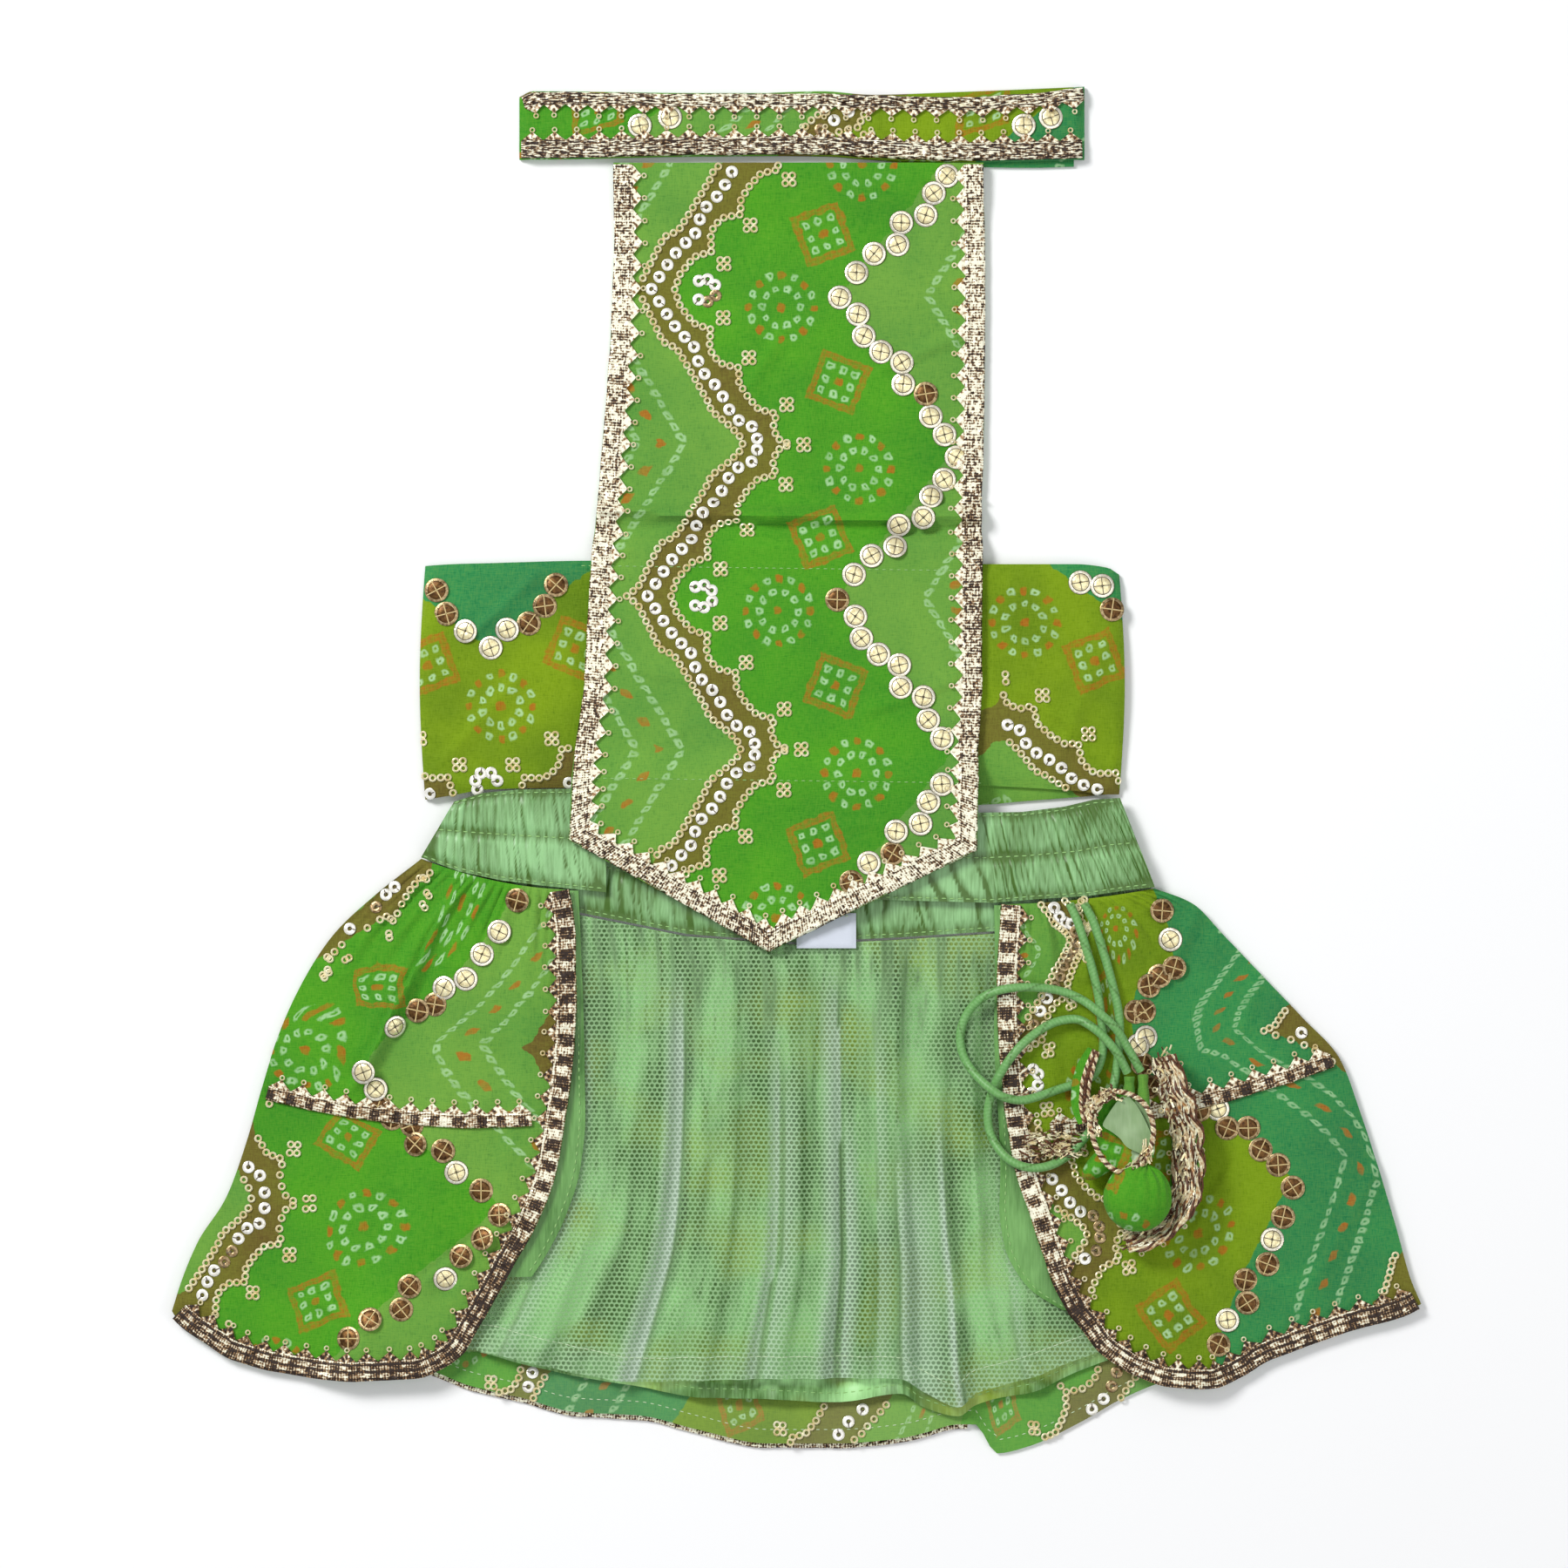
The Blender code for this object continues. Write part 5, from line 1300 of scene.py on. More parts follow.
# The blank care label is a folded woven satin tape, sewn beneath the back of the waistband.
LABEL = (0.0, 17.0), (-41.0, -51.0), (3.1, 3.95)    # across, down, and the lift of its two ends
LABEL_WALL, LABEL_FOLD = 0.9, 0.35
label_tape, label_wire = new_finish("woven_label_tape")
tape_place = object_place(label_wire)
ribs = label_wire.node("TexWave", {"wave_type": "BANDS", "bands_direction": "Y"},
                       {"Vector": tape_place, "Scale": 1.4, "Distortion": 0.6}, out="Fac")
dress(label_tape, Base_Color=dye(214, 220, 232), Roughness=0.38, height=ribs, depth=0.06,
      strength=0.5)


def label_place(u, v):
    lift = mix(*LABEL[2], v) + 0.15 * wobble(u * 3, v * 2, 5.0)
    return Vector((mix(*LABEL[0], u), mix(*LABEL[1], v), lift))


def label_wall(u, v):
    """It thins towards its folded edges."""
    return LABEL_WALL - LABEL_FOLD * (1 - smoothstep(0.0, 0.09, min(v, 1 - v, u, 1 - u)))


label_mesh = grid_mesh(34, 20, label_place, wall=label_wall)
label_surface = surface_of(label_mesh)
label = finished("care_label_tape", label_mesh, label_tape)
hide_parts("care_label")
stitches("care_label_stitching", [[(0.8, -41.8), (16.4, -41.8)]], label_surface, 1.2, 1.8,
         finish=pale_thread)

# The skirt's back is the printed cloth with its wrong side up, gathered into the waistband
# under the lining and the net. The tables here serve all three layers and the front flaps.
Edges = namedtuple("Edges", "down left_side left_open right_open right_side "
                            "left_facing right_facing left_drop right_drop")
SKIRT = rows_of(
    Edges, (0, (-107.5, -25.4), (-66, -34.2), (59.5, -38.4), (102.5, -33.9), -62.5, 56.5, 1.8, 0.9),
    (0.1, (-121, -36), (-64.5, -44), (58.8, -49), (113, -38), -62, 56.7, 2.5, 1.3),
    (0.2, (-133, -47.5), (-64, -57), (58.2, -61), (123, -48), -61.5, 56.8, 3.2, 1.8),
    (0.3, (-142, -61.5), (-64, -70), (58.5, -74), (134, -59.5), -61, 56.5, 3.8, 2.5),
    (0.4, (-148.5, -76), (-65, -84), (59.5, -88), (145, -71), -60.7, 57, 4, 3),
    (0.5, (-153.5, -92), (-67, -99), (61.5, -104), (155.5, -82.5), -60.5, 58, 4.2, 3.5),
    (0.6, (-157.5, -106), (-69.5, -114), (63.5, -115), (161.5, -98), -62, 58.3, 5.5, 6),
    (0.7, (-163.5, -122.5), (-74, -127), (67, -125), (167, -115), -66, 58, 7.2, 9.5),
    (0.8, (-171.5, -135), (-80.5, -139), (70.5, -136), (171.5, -130), -72, 59.5, 9, 13.5),
    (0.9, (-176.5, -147), (-88.5, -153.5), (74.5, -147.5), (176, -146), -83, 66, 11, 17.5),
    (1, (-179, -155), (-95.5, -165.5), (79, -155.5), (179, -153), -95, 78, 13, 21.5))
Hem = namedtuple("Hem", "across outer lining net")
BACK_HEM = rows_of(
    Hem, (-178.5, -154.8, -151.5, -151), (-166, -163, -160, -159.5), (-153.5, -167.5, -165, -164),
    (-128.5, -171, -168, -166.5), (-108.5, -171.5, -166.5, -166), (-93.5, -176.5, -166.5, -166),
    (-78.5, -180, -170, -169), (-63.5, -184, -173.5, -172.5), (-45, -185, -176.5, -175),
    (-28.5, -189, -179.5, -174.5), (-8.5, -193, -180, -174), (11.5, -193, -181, -174),
    (30, -191.5, -178.5, -174), (36.5, -190, -182.5, -178), (46.5, -187.5, -185, -182),
    (51, -187.5, -182, -178.5), (57.5, -196, -180, -176.5), (66.5, -194, -178.5, -174),
    (81.5, -187, -172, -168.5), (94, -180, -168, -165), (106.5, -175.2, -167, -165),
    (121.5, -173, -166, -164), (141.5, -164, -160, -158), (161.5, -157, -154, -152),
    (179.5, -152.8, -150, -148.5))
Fold = namedtuple("Fold", "hem_x net_rise lining_rise half_width")
FOLDS = rows_of(
    Fold, (-75, 0.8, 0.3, 4), (-65, 1.1, 0.4, 4), (-52, 2.2, 0.5, 5), (-39, 0.9, 0.6, 4),
    (-28, 1.3, 0.6, 4), (-16, 2, 0.6, 4.5), (-5, 1.2, 0.6, 4), (7, 2.4, 0.5, 5),
    (19, 1.5, 0.6, 4.5), (32, 2.6, 0.6, 5), (47, 2.8, 0.6, 5.5), (59, 1, 0.4, 4), (69, 0.9, 0.3, 4))
OUTER, SHEER = 0.85, 0.8        # walls of the back and of the fine layers over it
LINING, NET, FACING = 1.3, 2.6, 3.9
LACED_HEM = -105.0, 49.0
HEM_LACE_WIDTH, HEM_LIFT = 6.0, 1.3
WAIST_SEAM, UNDER_FLAP, SIDE_MARGIN, FACING_UNDER, FACING_HEM = 0.7, 30.0, 0.8, 9.0, 1.6


@lru_cache(maxsize=None)
def edge(v, name):
    return Vector((read(SKIRT, name, v, 0), read(SKIRT, name, v, 1)))


def waist_line(x):
    """How far down the waistband's lower edge lies at the back."""
    points = [Vector((row.bottom_x, row.bottom_y)) for row in WAISTBAND_BACK]
    x = min(max(x, points[0].x), points[-1].x)
    i = max(k for k in range(len(points) - 1) if points[k].x <= x)
    share = (x - points[i].x) / (points[i + 1].x - points[i].x)
    return mix(points[i].y, points[i + 1].y, share) - WAIST_SEAM


def layer_point(u, v, column, left, right):
    """A place on a full layer of the skirt between the edges left(v) and right(v)."""
    def across(w):
        return left(w).lerp(right(w), u)
    start, end, spot = across(0.0), across(1.0), across(v)
    spot.y += (1 - v) * (waist_line(start.x) - start.y)
    spot.y += v * (read(BACK_HEM, column, end.x) - end.y)
    return spot


def beside(name, shift):
    """A side edge of a full layer: one of the table's edges, moved sideways."""
    return lambda v: edge(v, name) + Vector((shift, 0))


inner_left, inner_right = beside("left_open", -UNDER_FLAP), beside("right_open", UNDER_FLAP)
outer_left, outer_right = beside("left_side", SIDE_MARGIN), beside("right_side", -SIDE_MARGIN)


def hem_lift(x, y, spread):
    """How far the back of the skirt rides up over its hem lace."""
    from_hem = y - read(BACK_HEM, "outer", x)
    near = 1 - smoothstep(HEM_LACE_WIDTH + 0.8 + spread, HEM_LACE_WIDTH + 5.8 + spread, from_hem)
    laced = smoothstep(LACED_HEM[0] - 9 - spread, LACED_HEM[0] - 1 - spread, x)
    laced *= 1 - smoothstep(LACED_HEM[1] + 1 + spread, LACED_HEM[1] + 7 + spread, x)
    return HEM_LIFT * near * laced


def fold_rise(u, v, column):
    """How far the loose folds of the net or the lining rise."""
    spot = layer_point(u, v, "net", inner_left, inner_right)
    hem_x = mix(inner_left(1.0).x, inner_right(1.0).x, u)
    hem_x += 1.2 * wobble(hem_x / 14.0, v * 2.2, 3.0)
    free = smoothstep(2.5, 7.0, spot.x - read(SKIRT, "left_facing", v))
    free *= smoothstep(2.5, 7.0, read(SKIRT, "right_facing", v) - spot.x)
    rise = 0.0
    for fold in FOLDS:
        offset = min(abs(hem_x - fold.hem_x) / fold.half_width, 1.0)
        rise = max(rise, getattr(fold, column) * (0.5 + 0.5 * cos(pi * offset)))
    sway = 0.7 + 1.3 * wobble(hem_x / 19.0, v * 1.5, 9.0)
    sway += 0.5 * wobble(hem_x / 8.0 + 2.0 * v, v * 3.2, 4.0)
    rise = rise * mix(0.35, 1.0, smoothstep(0.0, 0.8, v)) + 1.1 * max(sway, 0.0)
    return rise * free * smoothstep(0.0, 0.08, v)


def satin_fold(u, v):
    """How deep a spot of the lining lies in its soft folds and gathers, to paint shade there, and
    how far it swells, to paint sheen on it.
    """
    x = mix(inner_left(1.0).x, inner_right(1.0).x, u)
    x += 4.0 * wobble(x / 25.0, v * 2.0, 31.0)
    broad = wobble(x / 12.0 + v * 0.8, v * 1.8, 22.0)
    fine = wobble(x / 3.5, v * 2.6, 23.0)
    crease = max(0.5 - abs(wobble(x / 6.0, v * 1.1, 24.0)) * 5.0, 0.0)
    slant = max(0.35 - abs(wobble(x / 14.0 + v * 2.0, v * 2.6, 27.0)) * 6.0, 0.0)
    depth = 0.08 - 1.2 * broad - 0.35 * fine + crease * mix(1.7, 0.6, v) + slant
    ruffle = 0.5 * abs(wobble(x / 1.6, v * 3.0, 29.0))
    return mix(min(max(depth, -0.35), 0.85), ruffle + 0.12, smoothstep(0.95, 0.965, v)), v


skirt_satin = satin("skirt_lining_satin", dye(166, 224, 146), dye(62, 106, 28), 0.8,
                    dye(164, 186, 56))
facing_satin = satin("facing_satin", dye(118, 174, 92), dye(58, 110, 34), 1.0)
wrong_side = bandhani("bandhani_wrong_side", 0.86)
BACK_LAY = Lay([Mark(x, y, across, 90 + (y - 1600))
                for x, across in ((1330, 20), (1290, 55), (1222, 114), (1113, 297), (1025, 493),
                                  (943, 552), (795, 735), (615, 931), (572, 990), (500, 1080),
                                  (200, 1440))
                for y in (1000, 1600)])


def back_place(u, v):
    spot = layer_point(u, v, "outer", outer_left, outer_right)
    return Vector((*spot, hem_lift(*spot, 0)))


back_mesh = grid_mesh(180, 40, back_place,
                      wall=lambda u, v: OUTER + 0.12 * wobble(u * 40, v * 9, 1.0))
back_surface = surface_of(back_mesh)
skirt_back = finished("skirt_back_cloth", back_mesh, wrong_side)
BACK_LAY.print_onto(skirt_back)
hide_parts("skirt_back_outer")

# The lining is satin, cut full and gathered into the waistband over the printed back, so it
# hangs in soft folds. Its hem is turned up and stitched.


def lining_place(u, v):
    spot = layer_point(u, v, "lining", inner_left, inner_right)
    return Vector((*spot, LINING + hem_lift(*spot, 6) + fold_rise(u, v, "lining_rise")))


lining_mesh = grid_mesh(240, 56, lining_place, uv=satin_fold,
                        wall=lambda u, v: SHEER + 0.1 * wobble(u * 50, v * 8, 2.0))
lining_surface = surface_of(lining_mesh)
lining = finished("skirt_lining_cloth", lining_mesh, skirt_satin)
stitches("skirt_lining_stitching", [[lining_place(u, 0.975).xy for u in even(160)]], lining_surface,
         length=1.5, pitch=2.3, wall=0.25)
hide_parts("skirt_lining")

# The net is a soft layer over the lining, gathered into the waistband with it. It is doubled
# in loose pleats, where it shows paler, and its hem is turned up and stitched.
NET_MESH = 1.45          # from one hole of the net to the next
NET_HOLE = 0.31          # its radius, as a share of that
NET_GREEN, NET_DOUBLED, NET_SHADE = dye(162, 204, 148), dye(186, 208, 186), dye(72, 104, 54)
Streak = namedtuple("Streak", "hem_x cover width top")      # width is signed: the way it fades
NET_STREAKS = rows_of(
    Streak, (-46, 0.50, -8, 0.05), (-84, 0.20, 5, 0.2), (-11, 0.34, -5, 0.15), (-9, 0.26, 6, 0.2),
    (10, 0.40, -7, 0.0), (12, 0.36, 6, 0.3), (24, 0.22, 5, 0.1), (31, 0.34, 17, 0.35),
    (49, 0.48, -4, 0.3), (66, 0.18, 4, 0.4))


def net_cloth():
    """A see-through net: round holes in offset rows, closed up where it lies doubled, with painted
    shade along its creases.
    """
    material, wire = new_finish("soft_net")
    x, y, _ = split(object_place(wire))
    row = y / (NET_MESH * 0.87)
    column = (x / NET_MESH + maths("FLOOR", row) * 0.5) % 1.0 - 0.5
    row = row % 1.0 - 0.5
    threads = clamped((maths("SQRT", column * column + row * row) - NET_HOLE) * 7.0)
    doubled, crease = thread_map(wire)
    cover = clamped(0.02 + threads * (0.44 + doubled * 0.4) + doubled * 0.8 + crease * 0.65)
    green = painted(clamped(doubled * 2.0), NET_GREEN, NET_DOUBLED)
    return dress(material, Base_Color=painted(clamped(crease), green, NET_SHADE), Alpha=cover,
                 Roughness=0.75)


def net_place(u, v):
    spot = layer_point(u, v, "net", inner_left, inner_right)
    lining = hem_lift(*spot, 9) + fold_rise(u, v, "lining_rise")
    return Vector((*spot, NET + lining + fold_rise(u, v, "net_rise")))


def net_cover(u, v):
    """Where the net lies doubled in soft pleats, and the painted shade at each pleat's edge and in
    the gathers below the waist.
    """
    hem_x = mix(inner_left(1.0).x, inner_right(1.0).x, u)
    hem_x += 2.0 * wobble(hem_x / 20.0, v * 1.6, 8.0)
    cover, crease = 0.0, 0.0
    for streak in NET_STREAKS:
        across = (hem_x - streak.hem_x) / streak.width
        shown = smoothstep(streak.top, streak.top + 0.25, v)
        if 0.0 <= across < 1.0:
            cover = max(cover, streak.cover * (1 - across * across) * shown)
        elif across < 0.0:
            crease = max(crease, shown * streak.cover * 2.4 * (1 - smoothstep(0.0, 0.16, -across)))
    gather = 0.8 - abs(wobble(hem_x / 5.5, v * 1.4, 41.0)) * 9.0
    crease = max(crease, gather * (1 - smoothstep(0.05, 0.42, v)))
    cover = max(cover, 0.10 * smoothstep(0.925, 0.935, v))
    return cover, min(max(crease, 0.0), 1.0)


net_mesh = grid_mesh(220, 60, net_place, uv=net_cover, wall=SHEER)
net_surface = surface_of(net_mesh)
net = finished("skirt_net_cloth", net_mesh, net_cloth())
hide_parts("skirt_net")
stitches("skirt_net_stitching", [[net_place(u, 0.935).xy for u in even(160)]], net_surface,
         length=2.0, pitch=1.9, wall=0.2, finish=pale_thread)

# The two front flaps of the printed layer are faced with satin along their opening, and
# carry gota lace down the opening, round the hem, and across at knee height.
HemBow = namedtuple("HemBow", "across drop")
HEM_LEFT = rows_of(
    HemBow, (0, 0), (0.012, 0.12), (0.118, 0.54), (0.225, 0.85), (0.36, 0.98), (0.48, 1),
    (0.60, 0.96), (0.73, 0.83), (0.85, 0.69), (0.91, 0.50), (0.97, 0.21), (1, 0))
HEM_RIGHT = rows_of(
    HemBow, (0, 0), (0.03, 0.17), (0.08, 0.48), (0.13, 0.66), (0.18, 0.80), (0.28, 0.96), (0.40, 1),
    (0.48, 0.87), (0.57, 0.64), (0.67, 0.48), (0.82, 0.26), (0.945, 0.12), (1, 0))
Crease = namedtuple("Crease", "at_waist at_hem height half_width reach")    # shares of the flap
CREASES_LEFT = rows_of(
    Crease, (0.10, 0.16, 0.9, 0.060, 0.35), (0.22, 0.24, 0.8, 0.050, 0.28),
    (0.345, 0.26, 1.7, 0.075, 0.62), (0.50, 0.52, 0.8, 0.055, 0.22), (0.64, 0.66, 0.7, 0.055, 0.20),
    (0.80, 0.74, 0.7, 0.060, 0.30))
CREASES_RIGHT = rows_of(
    Crease, (0.16, 0.20, 0.6, 0.050, 0.22), (0.33, 0.40, 0.8, 0.060, 0.24),
    (0.48, 0.55, 0.8, 0.060, 0.30), (0.62, 0.66, 1.3, 0.070, 0.55), (0.76, 0.78, 0.9, 0.055, 0.40))
FLAP_FOLDS = rows_of(
    Wrinkle, ((528, 1018), (476, 1116), 2.2, 4.5), ((480, 1108), (402, 1255), 2.7, 5),
    ((606, 1376), (476, 1480), 1.2, 6), ((350, 1490), (430, 1530), 0.9, 5),
    ((600, 1060), (640, 1180), 0.8, 5), ((285, 1150), (330, 1250), 0.8, 5),
    ((1260, 1030), (1235, 1130), 1.3, 4.5), ((1375, 1030), (1330, 1140), 1.3, 5),
    ((1450, 1090), (1420, 1190), 0.9, 5), ((1580, 1330), (1500, 1480), 0.9, 6),
    ((1420, 1330), (1360, 1420), 0.9, 6))
FLAP, FLAP_ON_NET, FLAP_SIDE = 5.2, 3.9, 1.3


def flap_point(flap, u, v):
    """A place on a flap: u runs from its side edge to its opening edge."""
    spot = edge(v, flap.side + "_side").lerp(edge(v, flap.side + "_open"), u)
    bow = read(flap.hem, "drop", u if flap.way > 0 else 1.0 - u)
    arch = mix(4 * u * (1 - u), bow, smoothstep(0.5, 1.0, v))
    spot.y -= read(SKIRT, flap.side + "_drop", v) * arch
    return spot


def flap_place(flap, u, v):
    """Its underside lies on facing, net and lining near the opening, on the back elsewhere."""
    start, end = edge(v, flap.side + "_side"), edge(v, flap.side + "_open")
    from_open = (1 - u) * (end - start).length
    past_facing = smoothstep(FACING_UNDER + 4.0, FACING_UNDER + 10.0, from_open)
    past_facing *= 1 - smoothstep(0.78, 0.90, v)
    past_net = smoothstep(UNDER_FLAP + 3.0, UNDER_FLAP + 18.0, from_open)
    lift = mix(mix(FLAP, FLAP_ON_NET, past_facing), FLAP_SIDE, past_net)
    for crease in flap.creases:
        offset = abs(u - mix(crease.at_waist, crease.at_hem, v)) / crease.half_width
        if v < crease.reach and offset < 1.0:
            fade = smoothstep(0.0, 0.06, v) * (1 - smoothstep(0.3, 1.0, v / crease.reach))
            lift += crease.height * (0.5 + 0.5 * cos(pi * offset)) * fade
    return Vector((*flap_point(flap, u, v), lift))


def flap_wall(flap, u, v):
    """Its cloth: fine pleats below the waistband, then the folds of handled cloth."""
    gathers = (1 - smoothstep(0.0, 0.3, v)) * smoothstep(0.0, 0.015, v)
    pleat = abs(sin(pi * (u * 17 + 0.8 * wobble(u * 9, v * 3, 2.0))))
    x, y = flap_point(flap, u, v)
    hang = (rumpled(x, y, 5.0) + wrinkled(x, y, FLAP_FOLDS)) * smoothstep(0.0, 0.2, v)
    return 0.95 + gathers * 0.75 * pleat + hang


LEFT_LAY = Lay(rows_of(
    Mark, (420, 1225, 228, 0), (572, 1380, 362, 175), (600, 1015, 362, -175), (380, 1560, 228, 350),
    (352, 1205, 161, 17), (418, 1408, 252, 202), (433, 1133, 208, -68), (400, 1305, 227, 102),
    (363, 1493, 208, 282), (500, 1201, 329, 4), (554.6, 1201, 382, 4), (376, 1117, 94, -31),
    (441, 1080, 124, -76), (490, 1033, 168, -129), (338, 1318, 168, 129), (355, 1381, 187, 175),
    (333, 1440, 168, 221), (291, 1483, 124, 274), (408, 1113, 169, -85), (470, 1110, 225, -107),
    (468, 1155, 247, -51), (410, 1155, 191, -29), (312, 1205, 124, 17), (352, 1245, 161, 54),
    (392, 1207, 198, 17), (354, 1165, 161, -20)))
RIGHT_LAY = Lay([Mark(x, y, across + REPEAT, along) for x, y, across, along in (
    (1316, 1244, 228, 0), (1348, 1102, 362, -175), (1480, 1349, 362, 175), (1391, 1572, 228, 350),
    (1279, 1065, 252, -148), (1375, 1415, 252, 202), (1340, 1508, 208, 282), (1378, 1205, 329, 0),
    (1416, 1180, 382, 0), (1543, 1330, 435, 175), (1581, 1353, 490, 175), (1450, 1183, 425, 0),
    (1574, 1496, 425, 350), (1283, 1100, 252, -111), (1263, 1071, 215, -148),
    (1303, 1071, 289, -148), (1268, 1150, 208, -68), (1330, 1120, 350, -137),
    (1313, 1160, 326, -92), (1333, 1045, 334, -210), (1227, 1078, 118, -175),
    (1246, 1415, 118, 175), (1181, 1240, 73, 0), (1515, 1180, 462, -8), (1632, 1474, 466, 345))])
# way is 1 where the opening is at the flap's right; facing_end and middle_end are how far its
# facing runs down it and its middle lace across it; dark is the share of its sequins that take
# the copy with painted shade; repeats are those of the print it shows.
Flap = namedtuple("Flap", "side way hem creases lay facing_end middle_end dark repeats")
FLAPS = [Flap("left", 1, HEM_LEFT, CREASES_LEFT, LEFT_LAY, 0.84, 0.90, 0.62, range(-1, 1)),
         Flap("right", -1, HEM_RIGHT, CREASES_RIGHT, RIGHT_LAY, 0.985, 0.88, 0.85, range(0, 3))]


def moved_out(line, by):
    """A line of points moved sideways, to the left of its way where by is more than 0."""
    ways = [(b - a).normalized() for a, b in zip(line, line[1:])]
    return [spot + Vector((-way.y, way.x)) * by for spot, way in zip(line, ways + ways[-1:])]


def flap_facing(flap):
    """The satin strip inside a flap's opening, hemmed along its free edge."""
    def place(u, v):
        opening = edge(v * flap.facing_end, flap.side + "_open")
        free_edge = read(SKIRT, flap.side + "_facing", v * flap.facing_end)
        return Vector((mix(free_edge, opening.x - flap.way * FACING_UNDER, u), opening.y - 0.3,
                       FACING))
    mesh = grid_mesh(14, 110, place, uv=lambda u, v: (0.0, v),
                     wall=lambda u, v: 0.95 - 0.4 * (1 - smoothstep(0.0, 0.12, u)))
    surface = surface_of(mesh)
    facing = finished("facing_" + flap.side + "_satin", mesh, facing_satin)
    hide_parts("front_facing_" + flap.side)
    downs = [flap.facing_end * share for share in even(60)]
    hem = [(read(SKIRT, flap.side + "_facing", v) - flap.way * FACING_HEM,
            edge(v, flap.side + "_open").y) for v in downs]
    stitches("facing_" + flap.side + "_stitching", [hem], surface, length=1.5, pitch=2.4)


def front_flap(flap):
    """A flap of printed cloth, with its sequins and its two lengths of lace."""
    mesh = grid_mesh(120, 130, lambda u, v: flap_place(flap, u, v),
                     wall=lambda u, v: flap_wall(flap, u, v))
    surface = surface_of(mesh)
    cloth = finished("flap_" + flap.side + "_cloth", mesh, printed)
    flap.lay.print_onto(cloth)
    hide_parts("front_outer_" + flap.side)
    border = [flap_point(flap, 1.0, share) for share in even(80)]
    border += [flap_point(flap, 1.0 - 0.99 * share, 1.0) for share in even(60)[1:]]
    at_lace = near_line(border, 7.0)
    at_side = near_line([flap_point(flap, 0.0, share) for share in even(30)], 1.6)
    sequins("flap_" + flap.side + "_sequins", flap.lay, surface, flap.repeats, range(-2, 3),
            dark=flap.dark, gone=lambda x, y: at_lace(x, y) or at_side(x, y))
    lace("border_" + flap.side + "_lace", moved_out(border, flap.way), -flap.way, surface,
         "border_lace_" + flap.side, gota_barred)
    middle = [flap_point(flap, mix(0.015, flap.middle_end, share), 0.5) - Vector((0, 2.0))
              for share in even(60)]
    lace("middle_" + flap.side + "_lace", middle, flap.way, surface, "middle_lace_" + flap.side,
         gota_narrow, NARROW_WIDTH)


for flap in FLAPS:
    flap_facing(flap)
    front_flap(flap)

# The hem of the skirt's back has its own sequins and stitching, where it shows below the
# lining, and a narrow strip of gota lace sewn beneath its edge.
LINING_COVERS = 1.5                 # above the lining's edge
HEM_MIDDLE, HEM_SHOWN = 15.0, 128.0
HEM_LACE, HEM_PICOT = 3.6, 0.8
HEM_ENDS, HEM_SEAM = (-165.0, 165.0), 4.0
GROUND_HALF, GROUND_DROP = 250.0, 0.2


def under_lining(x, y):
    return (y > read(BACK_HEM, "lining", x) - LINING_COVERS
            or abs(x - HEM_MIDDLE) > HEM_SHOWN)


sequins("back_hem_sequins", BACK_LAY, back_surface, range(0, 4), range(-1, 2), dark=0.5,
        gone=under_lining, wheels=False)
ground = surface_of(grid_mesh(1, 1, lambda u, v: Vector((
    mix(-GROUND_HALF, GROUND_HALF, u), mix(GROUND_HALF, -GROUND_HALF, v), -GROUND_DROP))))
hem_line = [(x, read(BACK_HEM, "outer", x) - LACE_INSET - 1.2)
            for x in (mix(*LACED_HEM, share) for share in even(80))]
lace("back_hem_lace_strip", hem_line, 1, ground, "back_hem_lace", width=HEM_LACE, picot=HEM_PICOT)
hem_seam = [(x, read(BACK_HEM, "outer", x) + HEM_SEAM)
            for x in (mix(*HEM_ENDS, share) for share in even(90))]
stitches("back_hem_stitching", [hem_seam], back_surface, 1.3, 2.2, 0.22, pale_thread)

# Each end of the drawstring is finished with a tassel: a head of printed cloth bound over
# the cord, a stuffed ball, and petals and cups of the same cloth, edged with gilt braid.
TASSEL_LAY = Lay(rows_of(
    Mark, (1260, 1326, 227, 102), (1300, 1326, 267, 102), (1260, 1366, 227, 142),
    (1220, 1286, 187, 62)))
BRAID_STEP = 0.45
cup_lining = satin("tassel_lining", dye(156, 184, 136), dye(96, 132, 74), 0.5)
braid_gilt = metal("braid_gilt", dye(255, 250, 214), dye(178, 124, 68), 0.35, 0.9, 0.2)
braid_dark = metal("braid_dark", dye(122, 76, 48), dye(60, 32, 22), 0.5, 1.2, 0.2)


def cloth_piece(name, bm, node, finish=printed):
    """A piece of printed cloth at the tassels."""
    piece = finished(name, bm, finish)
    TASSEL_LAY.print_onto(piece)
    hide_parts(node)
    return piece


def braid(name, points, radius, strands=3, finish=braid_gilt, pitch=2.6):
    """A narrow gilt braid: a few strands laid round each other, once round in each pitch."""
    route = smooth_route(points, BRAID_STEP)
    bm = bmesh.new()
    for strand in range(strands):
        line = []
        for i, spot in enumerate(route):
            along = (route[min(i + 1, len(route) - 1)] - route[max(i - 1, 0)]).normalized()
            side = along.cross(Vector((0, 0, 1))).normalized()
            turn = (i * BRAID_STEP / pitch + strand / strands) * 2 * pi
            out = side * cos(turn) + Vector((0, 0, 1)) * sin(turn)
            line.append(spot + out * radius * 0.55)
        part = tube_mesh(line, lambda u, v: radius * 0.5, 3.0, 6)
        for face in part.faces:
            face.material_index = strand == 0
        held = mesh_of("strand", part)
        bm.from_mesh(held)
        bpy.data.meshes.remove(held)
    return finished(name, bm, [finish, braid_dark])


